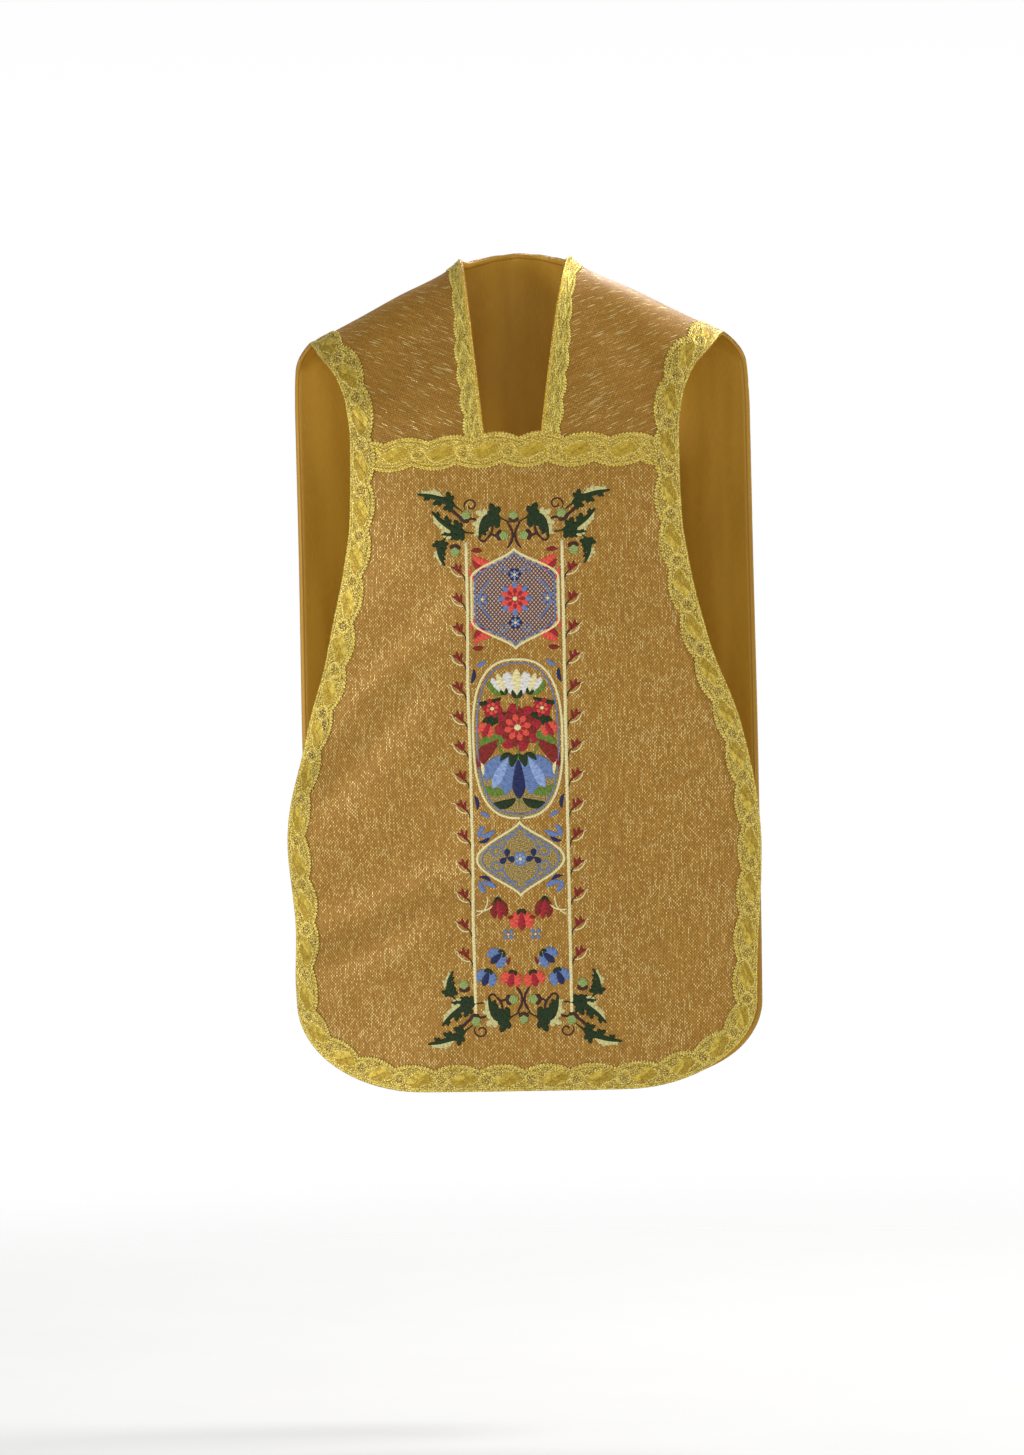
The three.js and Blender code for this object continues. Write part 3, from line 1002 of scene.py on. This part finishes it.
# The oak spray at a corner and half of the garland beside it, from the end of the rails up.
# Leaves: start, end, half width, lobes, bend, pale side.
OAK_LEAVES = (
    ((65, 36), (121, 59), 16, 3, 5, 1),
    ((50, 8), (102, 36), 17, 3, -7, -1),
    ((82, 6), (87, -32), 13, 3, 9, 1),
    ((68, 4), (90, 7), 9, 2, 1, -1),
    ((5, 20), (43, 0), 21, 4, 19, 1),
)
# Acorns: place, angle, size.
OAK_ACORNS = (((61, 28), 115, 6.9), ((74, -12), -85, 6.9), ((15.5, 4.5), 186, 6.9))
# Brown stems: start, end, bend, half width.
OAK_STEMS = (
    ((62, 26), (81, 43), -2, 1.9),
    ((73, 35), (79, 36), 1, 1.3),
    ((45, 24), (57, 26), 1, 1.5),
    ((8, 20), (9, -12), -7, 1.6),
    ((27, 19), (34, 1), -3, 1.5),
    ((34, 1), (43, 0), -3, 1.3),
    ((22, 4), (30, 9), -1, 1.5),
)
# Tendrils: centre, first and last radius, first angle, sweep, half width.
OAK_TENDRILS = (((53.5, 43), 9, 2.6, -40, 400, 1.0),)


def sprays(threads):
    """Oak sprays at the four corners, and a garland between them at the head and the foot."""
    work = Stitching(threads)
    middle = (SPRAYS["top"] + SPRAYS["foot"]) / 2
    corner = SPRAYS["top"] - middle
    for _ in four_ways(work):
        work.centre = (0, middle + corner * work.mirror[1])
        for start, end, bend, half in OAK_STEMS:
            stem(work, "brown", bow(start, end, bend, 18), half)
        for centre, first, last, angle, sweep, half in OAK_TENDRILS:
            stem(work, "brown", spiral(centre, first, last, angle, sweep, 32), half)
        for leaf in OAK_LEAVES:
            oak_leaf(work, *leaf)
        for place, angle, size in OAK_ACORNS:
            acorn(work, np.array(place, float), angle, size)
    for end in (1, -1):
        work.mirror = (1, end)
        work.centre = (0, middle + corner * end)
        acorn(work, np.array([0.0, 26.5]), 90, 6.4)
    return work.piece("embroidered_sprays")


def ogee(v):
    return (0.5 + 0.5 * np.cos(np.pi * v)) ** 0.7


def oval(v):
    return np.clip(1 - np.abs(v) ** 2.6, 0, 1) ** (1 / 2.6)


def cartouche(v):
    ends = np.clip((np.abs(v) - 0.42) / 0.58, 0, 1)
    return (0.5 + 0.5 * np.cos(np.pi * ends)) ** 0.8


def outline(width, half, tall, count=64):
    """The line round a field whose half width at each share of its height `width` gives."""
    v = np.sin(np.linspace(-np.pi / 2, np.pi / 2, count))
    right = np.stack([half * width(v), tall * v], axis=-1)
    left = (right * np.array([-1, 1]))[::-1]
    return np.concatenate([right, left[1:-1], right[:2]])


def fill(work, thread, width, half, tall, low=-1, high=1):
    v = np.clip(np.sin(np.linspace(-np.pi / 2, np.pi / 2, 60)), low, high)
    v = np.unique(v)
    path = np.stack([0 * v, tall * v], axis=-1)
    work.add(thread, path, np.maximum(half * width(v), 0.3), crown=0.16, section=FLAT)


def trellis(work, thread, width, half, tall, spacing, slope, thickness=0.55):
    """Slanting threads across a field."""
    reach = half + tall
    for c in np.arange(-reach, reach, spacing):
        z = np.arange(-tall, tall, 1.5)
        x = (z - c) * slope
        inside = np.abs(x) < half * width(z / tall) - 1.5
        runs = np.split(np.arange(len(z)), np.flatnonzero(np.diff(inside.astype(int))) + 1)
        for run in runs:
            if inside[run[0]] and len(run) > 3:
                kept = np.unique(np.append(run[::4], run[-1]))
                line = np.stack([x[kept], z[kept]], axis=-1)
                work.add(thread, line, thickness, crown=0.45, base=0.2, section=LINE)


# Fields between the rails: where their middles are, half width and half height.
UPPER = {"middle": 615, "half": 54.5, "tall": 63}
CENTRE = {"middle": 440, "half": 55.5, "tall": 99}
LOWER = {"middle": 290, "half": 54.5, "tall": 46}


def framed(work, width, field, outer, inner, gap):
    half, tall = field["half"], field["tall"]
    work.add(outer, outline(width, half, tall), 1.6, crown=1.0, base=0.25)
    work.add(inner, outline(width, half - gap, tall - gap), 0.9, crown=0.8, base=0.3)


def upper_field(threads):
    """A trellised cartouche with a star flower and roundels, and leaves in the corners."""
    work = Stitching(threads)
    work.centre = (0, UPPER["middle"])
    half, tall = UPPER["half"] - 1, UPPER["tall"] - 2
    fill(work, "linen", cartouche, half, tall)
    for slope in (0.85, -0.85):
        trellis(work, "plum", cartouche, half, tall, 5.6, slope, 0.8)
    framed(work, cartouche, UPPER, "cream", "blue", 5)
    for _ in both_sides(work):
        stem(work, "blue", bow((27, -27), (27, 27), -17, 40), 1.3)
        blossom(work, (41, 0), 4, 2.0, (("blue", 8.5, 3.0),), np.pi / 4)
    for _ in four_ways(work):
        petal(work, "coral", (53, 57), (28, 45), 5.0, 4, 1.2)
        petal(work, "crimson", (53, 50), (36, 37), 3.8, 3, 1.2)
        petal(work, "dark_red", (55, 61), (40, 60), 3.2, -1, 1.2)
        petal(work, "coral", (55, 40), (50, 24), 2.8, 2, 1.2)
        stem(work, "blue", spiral((13, 36), 6, 2, -60, 380, 26), 1.0)
    for place in (30, -30):
        blossom(work, (0, place), 6, 2.0, (("navy", 8.5, 2.8), ("sky", 5.5, 1.8)))
    star = (("blue", 22, 4.2), ("coral", 18.5, 4.6), ("crimson", 13, 3.2), ("coral", 8, 2.0))
    blossom(work, (0, 0), 8, 3.2, star)
    return work.piece("embroidered_upper_field")


# Half of the bouquet in the centre field. Blades: thread, start, end, half width, bend.
BOUQUET_BLADES = (
    ("forest", (10, 30), (46, 12), 7.5, 5),
    ("moss", (8, -4), (49, -8), 8.0, 7),
    ("moss", (10, 58), (36, 72), 6.5, -4),
    ("forest", (20, 52), (49, 46), 5.0, -5),
    ("forest", (4, -74), (34, -80), 6.0, -5),
    ("moss", (14, -64), (45, -58), 6.0, -5),
    ("dark_red", (20, 2), (50, -38), 8.5, 6),
    ("cream", (44, -46), (50, -24), 2.6, 2),
)
# Its bells: foot, tip, half width, outer and inner thread.
BOUQUET_BELLS = (
    ((11, -20), (33, -62), 17, "blue", "sky"),
    ((15, 56), (24, 82), 10, "white", "cream"),
    ((33, 22), (44, 2), 9, "coral", "crimson"),
)


def centre_field(threads):
    """A bouquet of roses, lilies and bellflowers, in the place of the photo's picture."""
    work = Stitching(threads)
    work.centre = (0, CENTRE["middle"])
    fill(work, "gold_ground", oval, CENTRE["half"] - 1, CENTRE["tall"] - 1, -1, -0.42)
    framed(work, oval, CENTRE, "cream", "blue", 5)
    stem(work, "moss", bow((0, -84), (0, 60), 0, 50), 1.5)
    for _ in both_sides(work):
        stem(work, "moss", bow((0, -50), (32, 34), -8, 26), 1.2)
        for thread, start, end, half, bend in BOUQUET_BLADES:
            petal(work, thread, start, end, half, bend)
        for foot, tip, half, outer, inner in BOUQUET_BELLS:
            bell(work, foot, tip, half, outer, inner)
        blossom(work, (31, 38), 6, 2.6, (("crimson", 13, 4.8), ("coral", 8, 3.0)), 0.2)
    bell(work, (0, -22), (0, -76), 21, "blue", "navy")
    bell(work, (0, 52), (0, 88), 14, "white", "cream")
    rose = (("crimson", 31, 9.0), ("dark_red", 24, 7.4), ("coral", 17, 5.2), ("crimson", 10, 3.2))
    blossom(work, (0, 14), 8, 4.4, rose, 0.2)
    for _ in four_ways(work):
        petal(work, "blue", (50, 92), (38, 99), 2.8, 2)
        petal(work, "navy", (53, 88), (56, 70), 2.6, -2)
    return work.piece("embroidered_centre_field")


def lower_field(threads):
    """A gold ogee with trefoils between blue scrolls, and small leaves outside it."""
    work = Stitching(threads)
    work.centre = (0, LOWER["middle"])
    fill(work, "gold_ground", ogee, LOWER["half"] - 1, LOWER["tall"] - 2)
    framed(work, ogee, LOWER, "cream", "blue", 6)
    for _ in both_sides(work):
        for angle in (95, 200, 320):
            way = np.array([math.cos(math.radians(angle)), math.sin(math.radians(angle))])
            petal(work, "navy", (17, 2), np.array([17, 2]) + way * 11, 3.8, 0, 1.4, 0.4)
    for _ in four_ways(work):
        stem(work, "blue", spiral((30, 8), 9, 2.5, 200, -400, 34), 1.1)
        stem(work, "blue", bow((3, 30), (22, 12), 5, 18), 1.1)
        petal(work, "blue", (52, 30), (31, 36), 3.6, 3, 1.2)
        petal(work, "blue", (52, 26), (44, 42), 3.2, -2, 1.2)
        petal(work, "navy", (53, 22), (38, 27), 2.4, 2, 1.2)
    blossom(work, (0, 0), 6, 2.4, (("blue", 10, 3.2), ("sky", 6.5, 2.0)))
    return work.piece("embroidered_lower_field")


# Half of the flowers under the fields: foot, tip, half width, outer and inner thread.
FOOT_BELLS = (
    ((30, 62), (26, 34), 9, "dark_red", "crimson"),
    ((12, -30), (17, -50), 11, "coral", "crimson"),
    ((42, -28), (50, -48), 11, "blue", "navy"),
    ((24, -6), (40, -20), 11, "blue", "navy"),
)


def foot_flowers(threads):
    """Small flowers between the lower field and the garland at the foot."""
    work = Stitching(threads)
    work.centre = (0, 180)
    for _ in both_sides(work):
        stem(work, "cream", bow((57, 46), (30, 66), 8, 20), 1.1)
        stem(work, "cream", bow((56, 40), (42, 64), 5, 16), 0.9)
        stem(work, "cream", bow((24, -4), (20, -22), 4, 12), 0.9)
        petal(work, "dark_red", (3, 42), (18, 38), 3.0, -3, 1.2)
        petal(work, "dark_red", (15, -12), (18, -22), 2.2, 1, 1.2)
        blossom(work, (17, 16), 4, 1.6, (("blue", 8, 2.6),), 0.78)
        for foot, tip, half, outer, inner in FOOT_BELLS:
            bell(work, foot, tip, half, outer, inner)
    bell(work, (0, 46), (0, 20), 12, "coral", "crimson")
    return work.piece("embroidered_foot_flowers")


# --- Materials ------------------------------------------------------------------------------------


def linear(red, green, blue):
    """A screen colour, 0 to 255, as light."""
    shares = np.array([red, green, blue]) / 255
    light = np.where(shares <= 0.04045, shares / 12.92, ((shares + 0.055) / 1.055) ** 2.4)
    return (*light.tolist(), 1.0)


class Tree:
    """Short calls that add nodes to a new material."""

    def __init__(self, name, **settings):
        self.material = bpy.data.materials.new(name)
        self.material.use_nodes = True
        self.nodes = self.material.node_tree.nodes
        self.shader = self.nodes["Principled BSDF"]
        for key, value in settings.items():
            self.shader.inputs[key.replace("_", " ")].default_value = value

    def add(self, kind, inputs=(), **settings):
        node = self.nodes.new("ShaderNode" + kind)
        for key, value in settings.items():
            setattr(node, key, value)
        for key, value in dict(inputs).items():
            self.put(node.inputs[key], value)
        return node

    def put(self, socket, value):
        if isinstance(value, bpy.types.NodeSocket):
            self.material.node_tree.links.new(value, socket)
        else:
            socket.default_value = value

    def attribute(self, name):
        return self.add("Attribute", attribute_name=name).outputs

    def scaled(self, vector, scale):
        return self.add("VectorMath", {0: vector, 1: scale}, operation="MULTIPLY").outputs[0]

    def noise(self, vector, detail=2.0, roughness=0.5, scale=1.0):
        inputs = {"Vector": vector, "Scale": scale, "Detail": detail, "Roughness": roughness}
        return self.add("TexNoise", inputs).outputs["Fac"]

    def ramp(self, value, low, high, to_low=0.0, to_high=1.0):
        inputs = {
            "Value": value, "From Min": low, "From Max": high, "To Min": to_low, "To Max": to_high,
        }
        return self.add("MapRange", inputs, interpolation_type="SMOOTHSTEP").outputs[0]

    def maths(self, operation, first, second=0.0):
        return self.add("Math", {0: first, 1: second}, operation=operation).outputs[0]

    def mix(self, share, first, second):
        inputs = {"Factor": share, "A": first, "B": second}
        node = self.add("Mix", data_type="RGBA")
        for name, value in inputs.items():
            socket = next(s for s in node.inputs if s.name == name and s.enabled)
            self.put(socket, value)
        return next(s for s in node.outputs if s.enabled)

    def bump(self, height, distance, strength=1.0):
        inputs = {"Height": height, "Distance": distance * MM, "Strength": strength}
        return self.add("Bump", inputs).outputs["Normal"]

    def surface(self, **inputs):
        for key, value in inputs.items():
            self.put(self.shader.inputs[key.replace("_", " ")], value)
        return self.material


# The lame's weave: a staggered lattice of short floats, each 1 wide and 3 long.
WEAVE = {"wide": 1.9, "long": 4.2, "wander": 1.5}


def dashes(tree, place, width, length, size, scatter=1.0):
    """Short warp-wise dashes: their shape, and a random number for each."""
    cells = tree.add(
        "TexVoronoi",
        {"Vector": tree.scaled(place, (1 / width, 1 / length, 1)), "Scale": 1.0, "Randomness": scatter},
        voronoi_dimensions="2D",
    )
    shape = tree.ramp(cells.outputs["Distance"], size, size * 0.5)
    picked = tree.add("SeparateColor", {"Color": cells.outputs["Color"]}).outputs[0]
    return shape, picked


def off_middle(tree, place):
    """How far a place is from the middle of its own step of 1."""
    return tree.maths("ABSOLUTE", tree.maths("SUBTRACT", tree.maths("FRACT", place), 0.5))


def lattice(tree, grain):
    """Rows of short floats, every other column half a float along, and not quite even: their
    shape, and a random number for each."""
    drift = tree.add("TexNoise", {"Vector": tree.scaled(grain, (1 / 11, 1 / 11, 1)), "Scale": 1.0})
    wander = (WEAVE["wander"], WEAVE["wander"], 0)
    moved = tree.add(
        "VectorMath", {0: drift.outputs["Color"], 1: wander, 2: grain}, operation="MULTIPLY_ADD"
    )
    parts = tree.add("SeparateXYZ", {"Vector": moved.outputs[0]}).outputs
    column = tree.maths("FLOOR", tree.maths("DIVIDE", parts[0], WEAVE["wide"]))
    along = tree.maths("ADD", parts[1], tree.maths("MULTIPLY", column, WEAVE["long"] / 2))
    along = tree.maths("DIVIDE", along, WEAVE["long"])
    across = tree.maths("DIVIDE", parts[0], WEAVE["wide"])
    shape = tree.maths(
        "MULTIPLY", tree.ramp(off_middle(tree, across), 0.42, 0.18), tree.ramp(off_middle(tree, along), 0.36, 0.12)
    )
    cell = tree.add("CombineXYZ", {"X": column, "Y": tree.maths("FLOOR", along), "Z": parts[2]})
    return shape, tree.add("TexWhiteNoise", {"Vector": cell.outputs[0]}).outputs["Value"]


def brocade():
    """Brown-gold lame: a fine grain of short floats with pale metal slubs, thicker in patches. The slubs' pale
    colour is partly a painted glint, and the floats' lighter colour a painted highlight.
    """
    tree = Tree("lame_brocade", IOR=1.45, Specular_IOR_Level=0.35)
    grain = tree.attribute("grain")["Vector"]
    patch = tree.noise(tree.scaled(grain, (1 / 80, 1 / 50, 1 / 100)), 2.0, 0.6)
    streak = tree.noise(tree.scaled(grain, (1 / 0.8, 1 / 2.6, 1)), 2.0, 0.65)
    soft = tree.noise(tree.scaled(grain, (1 / 2.4, 1 / 34, 1)), 1.0)
    floats, float_pick = lattice(tree, grain)
    long_shape, long_pick = dashes(tree, grain, 0.9, 21, 0.34)
    # the back panel, which takes in the shoulders, gets more and longer painted glints, and fewer and fainter pale
    # floats
    side = tree.add("SeparateXYZ", {"Vector": grain}).outputs[2]
    more = tree.ramp(side, 0, BACK_GRAIN, 0, 0.025)
    long_bar = tree.maths("SUBTRACT", tree.ramp(patch, 0.3, 0.72, 0.96, 0.9), more)
    behind = tree.ramp(side, 0, BACK_GRAIN, 0, 0.22)
    beads = tree.maths("MAXIMUM", floats, tree.ramp(side, 0, BACK_GRAIN, 0.5, 1.0))
    long_shape = tree.maths("MULTIPLY", long_shape, beads)
    float_bar = tree.maths("ADD", tree.ramp(patch, 0.3, 0.72, 0.84, 0.3), behind)
    float_bar = tree.maths("ADD", float_bar, tree.ramp(soft, 0.35, 0.65, 0.22, -0.22))
    float_bar = tree.maths("MINIMUM", float_bar, 0.95)
    long_on = tree.maths("MULTIPLY", long_shape, tree.maths("GREATER_THAN", long_pick, long_bar))
    float_on = tree.maths("MULTIPLY", floats, tree.ramp(float_pick, float_bar, 1.0))
    float_share = tree.ramp(side, 0, BACK_GRAIN, 0.5, 0.24)
    slub_and_glint = tree.maths("MAXIMUM", long_on, tree.maths("MULTIPLY", float_on, float_share))
    # painted highlight on the floats, dimmer on the back and shoulders: painted shade there
    lit = tree.maths("MULTIPLY", floats, tree.ramp(float_pick, 0.0, 1.0, 0.25, 0.85))
    lit = tree.maths("MULTIPLY", lit, tree.ramp(side, 0, BACK_GRAIN, 1.0, 0.4))
    base = tree.mix(tree.ramp(streak, 0.36, 0.64), linear(121, 80, 20), linear(157, 112, 34))
    base = tree.mix(tree.ramp(soft, 0.35, 0.75, 0.0, 0.4), base, linear(182, 136, 54))
    base = tree.mix(lit, base, linear(214, 170, 84))
    # the slubs are metal thread, and their pale colour is partly a painted glint
    colour = tree.mix(slub_and_glint, base, linear(250, 236, 166))
    height = tree.maths("ADD", tree.maths("MULTIPLY", streak, 0.4), floats)
    return tree.surface(
        Base_Color=colour,
        Metallic=tree.ramp(slub_and_glint, 0, 1, 0.22, 0.65),
        Roughness=tree.ramp(slub_and_glint, 0, 1, 0.5, 0.38),
        Normal=tree.bump(height, 0.22, 0.5),
    )


def satin():
    """Plain golden satin, with a line of stitches just inside its edge."""
    tree = Tree("satin_lining", Metallic=0.15, IOR=1.45, Specular_IOR_Level=0.3)
    grain = tree.attribute("grain")["Vector"]
    edge = tree.attribute("edge")["Fac"]
    warp = tree.noise(tree.scaled(grain, (1 / 0.8, 1 / 12, 1)), 2.0)
    sheen = tree.noise(tree.scaled(grain, (1 / 25, 1 / 220, 1 / 100)), 1.0)
    seam = tree.ramp(tree.maths("ABSOLUTE", tree.maths("SUBTRACT", edge, 5.0)), 1.3, 0.4)
    base = tree.mix(tree.ramp(sheen, 0.3, 0.7), linear(172, 126, 32), linear(188, 142, 44))
    base = tree.mix(tree.ramp(warp, 0.35, 0.7, 0, 0.3), base, linear(204, 158, 58))
    colour = tree.mix(tree.maths("MULTIPLY", seam, 0.5), base, linear(116, 78, 18))
    height = tree.maths("SUBTRACT", tree.maths("MULTIPLY", warp, 0.3), seam)
    return tree.surface(
        Base_Color=colour,
        Roughness=tree.ramp(warp, 0, 1, 0.36, 0.5),
        Normal=tree.bump(height, 0.3, 0.6),
    )


def gold_lace(name, dark, middle, bright):
    """Metallic lace: painted shade in its recesses and between its threads, painted highlights on its cords of
    wavy thread, painted glints and a painted sheen, and smooth satin leaves.
    """
    tree = Tree(name, Metallic=0.4, IOR=1.5, Specular_IOR_Level=0.2)
    thread = tree.attribute("thread")["Vector"]
    satin = tree.add("SeparateXYZ", {"Vector": thread}).outputs[2]
    rough = tree.ramp(satin, 0.2, 0.8, 1.0, 0.35)
    string = tree.noise(tree.scaled(thread, (1 / 2.6, 1 / 0.9, 0)), 2.0, 0.6)
    fleck = tree.noise(tree.scaled(thread, (1 / 1.7, 1 / 1.1, 0)), 1.0)
    # soft random patches of painted sheen over the painted shading
    sheen_cloud = tree.noise(tree.scaled(thread, (1 / 8, 1 / 5, 0)), 2.0)
    tone = tree.maths("ADD", tree.attribute("tone")["Fac"], tree.ramp(sheen_cloud, 0.3, 0.7, -0.16, 0.16))
    low = tree.mix(tree.ramp(tone, 0.0, 0.45), dark, middle)
    colour = tree.mix(tree.ramp(tone, 0.45, 0.95), low, bright)
    # painted shade in the gaps between the threads
    shaded_gaps = tree.maths("MULTIPLY", tree.ramp(string, 0.5, 0.38, 0, 0.75), rough)
    colour = tree.mix(shaded_gaps, colour, dark)
    # painted glints: pale flecks on the threads
    glints = tree.maths("MULTIPLY", tree.ramp(fleck, 0.55, 0.64, 0, 0.85), rough)
    colour = tree.mix(glints, colour, linear(255, 246, 172))
    return tree.surface(
        Base_Color=colour,
        Roughness=tree.ramp(string, 0.3, 0.7, 0.52, 0.38),
        Normal=tree.bump(string, 0.35, 0.8),
    )


def embroidery_thread(name, colour, shade, metallic=0.0, roughness=0.5):
    """Satin stitches that lie across each shape."""
    tree = Tree(name, Metallic=metallic, IOR=1.5, Specular_IOR_Level=0.25)
    run = tree.attribute("thread")["Vector"]
    stitch = tree.noise(tree.scaled(run, (1 / 0.9, 1 / 7, 1)), 1.0)
    tuft = tree.noise(tree.scaled(run, (1 / 6, 1 / 6, 1)), 2.0)
    base = tree.mix(tree.ramp(stitch, 0.38, 0.56), shade, colour)
    base = tree.mix(tree.ramp(tuft, 0.4, 0.8, 0, 0.3), base, shade)
    return tree.surface(
        Base_Color=base,
        Roughness=tree.ramp(stitch, 0.3, 0.7, roughness + 0.12, roughness),
        Normal=tree.bump(stitch, 0.25, 0.7),
    )


def speckled_ground():
    """Loose gold stitches over the cloth, with the ground showing between them."""
    tree = Tree("gold_ground", Metallic=0.4, IOR=1.5)
    run = tree.attribute("thread")["Vector"]
    speck = tree.noise(tree.scaled(run, (1 / 1.3, 1 / 1.6, 1)), 2.0, 0.7)
    base = tree.mix(tree.ramp(speck, 0.42, 0.6), linear(104, 84, 40), linear(186, 160, 92))
    return tree.surface(
        Base_Color=base,
        Roughness=tree.ramp(speck, 0.3, 0.7, 0.55, 0.35),
        Normal=tree.bump(speck, 0.3, 0.8),
    )


THREADS = {
    "forest": ((34, 56, 18), (16, 30, 6)),
    "cream": ((240, 230, 176), (196, 180, 116)),
    "pale_leaf": ((214, 208, 148), (168, 160, 98)),
    "nut": ((158, 176, 104), (104, 124, 58)),
    "moss": ((108, 136, 48), (76, 102, 32)),
    "sky": ((152, 174, 214), (108, 134, 184)),
    "brown": ((74, 40, 32), (46, 24, 18)),
    "blue": ((110, 134, 180), (80, 102, 148)),
    "navy": ((34, 44, 92), (20, 26, 60)),
    "coral": ((230, 92, 72), (188, 58, 44)),
    "crimson": ((176, 34, 48), (128, 22, 30)),
    "dark_red": ((140, 38, 30), (100, 24, 20)),
    "plum": ((96, 72, 96), (70, 50, 70)),
    "linen": ((214, 186, 140), (186, 152, 100)),
    "white": ((232, 230, 222), (188, 184, 172)),
}


def all_threads():
    made = {
        name: embroidery_thread(f"thread_{name}", linear(*colour), linear(*shade))
        for name, (colour, shade) in THREADS.items()
    }
    made["gold_ground"] = speckled_ground()
    return made


# --- Stage and lights -----------------------------------------------------------------------------

FLOOR_HEIGHT = -1500
FLOOR_RADIUS = 9000
FLOOR_FADE = (1.2, 3.6)
FLOOR_COVER = 0.6


def floor_material():
    """Pale and matt near the garment, and clear further off, so that it has no horizon."""
    tree = Tree("pale_floor", Roughness=0.9)
    place = tree.add("NewGeometry").outputs["Position"]
    flat = tree.scaled(place, (1, 1, 0))
    away = tree.add("VectorMath", {0: flat}, operation="LENGTH").outputs["Value"]
    grain = tree.noise(place, 2.0, scale=3.0)
    return tree.surface(
        Base_Color=tree.mix(grain, linear(236, 236, 234), linear(244, 244, 242)),
        Alpha=tree.ramp(away, *FLOOR_FADE, FLOOR_COVER, 0.0),
    )


def add_floor():
    angles = np.linspace(0, 2 * np.pi, 96, endpoint=False)
    ring = np.stack([np.cos(angles), np.sin(angles), 0 * angles], axis=-1) * FLOOR_RADIUS
    ring[:, 2] = FLOOR_HEIGHT
    floor = make_piece("floor", ring, [list(range(96))], [floor_material()])
    floor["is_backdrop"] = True


def area_light(name, place, size, power):
    light = bpy.data.lights.new(name, "AREA")
    light.shape = "DISK"
    light.size = size
    light.energy = power
    lamp = bpy.data.objects.new(name, light)
    place = Vector(place)
    aim = Vector((0, 0, -0.5))
    lamp.location = place
    lamp.rotation_mode = "QUATERNION"
    lamp.rotation_quaternion = (place - aim).to_track_quat("Z", "Y")
    bpy.context.scene.collection.objects.link(lamp)


def studio_world():
    """White all round, and dimmer overhead."""
    world = bpy.data.worlds.new("studio")
    bpy.context.scene.world = world
    world.use_nodes = True
    nodes, links = world.node_tree.nodes, world.node_tree.links
    parts = nodes.new("ShaderNodeSeparateXYZ")
    links.new(nodes.new("ShaderNodeTexCoord").outputs["Generated"], parts.inputs[0])
    level = nodes.new("ShaderNodeMapRange")
    level.interpolation_type = "SMOOTHSTEP"
    for key, value in (("From Min", 0.12), ("From Max", 0.5), ("To Min", 1.0), ("To Max", 0.32)):
        level.inputs[key].default_value = value
    links.new(parts.outputs["Z"], level.inputs["Value"])
    background = nodes["Background"]
    background.inputs["Color"].default_value = (1, 1, 1, 1)
    links.new(level.outputs["Result"], background.inputs["Strength"])


def add_lights():
    studio_world()
    area_light("key", (-3.3, -3.3, -0.1), 1.2, 58)
    area_light("fill", (2.4, -4.0, -0.6), 1.6, 8)
    area_light("back", (0.5, 2.6, 2.4), 1.2, 72)
    area_light("top", (2.3, 0.5, 2.2), 1.0, 82)
    bpy.context.scene.view_settings.view_transform = "Standard"


# --- The garment ----------------------------------------------------------------------------------


def dress(piece, slot, *nodes):
    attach(piece, "root")
    if nodes:
        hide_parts(*nodes)


def add_garment():
    lines = [outer_line(), neck_line(BAND_TOP_PLACE)]
    cloth, silk = brocade(), satin()
    made = {}
    panels = {
        "front": (front_panel, 2 * row["half"].max(), SEAM_PLACE),
        "back": (back_panel, 2 * row["half"][RIDGE_ROW:].max(), BACK_HEM - SEAM_PLACE),
    }
    for name, (build, width, length) in panels.items():
        places, faces = build(CLOTH_CELL)
        piece = shell(f"{name}_cloth", places, faces, CLOTH, cloth, lines)
        dress(piece, "brocade", f"{name}_panel")
        area = cut_area(places, faces)
        places, faces = build(LINING_CELL)
        inside = shell(f"{name}_lining_cloth", places, faces, LINING, silk, lines)
        dress(inside, "lining", f"{name}_lining")
        made[name] = piece
    return made


def add_laces():
    lace = gold_lace("gold_lace", linear(98, 68, 6), linear(158, 127, 24), linear(218, 191, 76))
    # the neck lace's own yellower gold, made lighter still as a painted highlight, for it lies over the shoulders
    # where less light falls
    neck_gold = gold_lace(
        "neck_lace_gold", linear(100, 70, 4), linear(190, 162, 46), linear(246, 226, 106)
    )
    binding = gold_lace(
        "gold_binding", linear(150, 108, 12), linear(184, 144, 26), linear(208, 170, 44)
    )
    band_gold = gold_lace(
        "band_lace_gold", linear(128, 94, 12), linear(180, 148, 36), linear(216, 186, 70)
    )
    edges, length = add_edge_lace(lace)
    for piece in edges:
        dress(piece, "gold_lace", "edge_lace")
    neck, length = add_neck_lace(neck_gold, binding)
    dress(neck, "gold_lace", "neck_lace")
    band, length = add_band(band_gold)
    dress(band, "gold_lace", "chest_band")


def add_embroidery():
    threads = all_threads()
    for build in (border, sprays, upper_field, centre_field, lower_field, foot_flowers):
        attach(build(threads), "root")


add_garment()
add_laces()
add_embroidery()
add_floor()
add_lights()

boxes = {"cad_box": cad_box, "visual_box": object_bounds()}
{name: [list(corner) for corner in box] for name, box in boxes.items()}
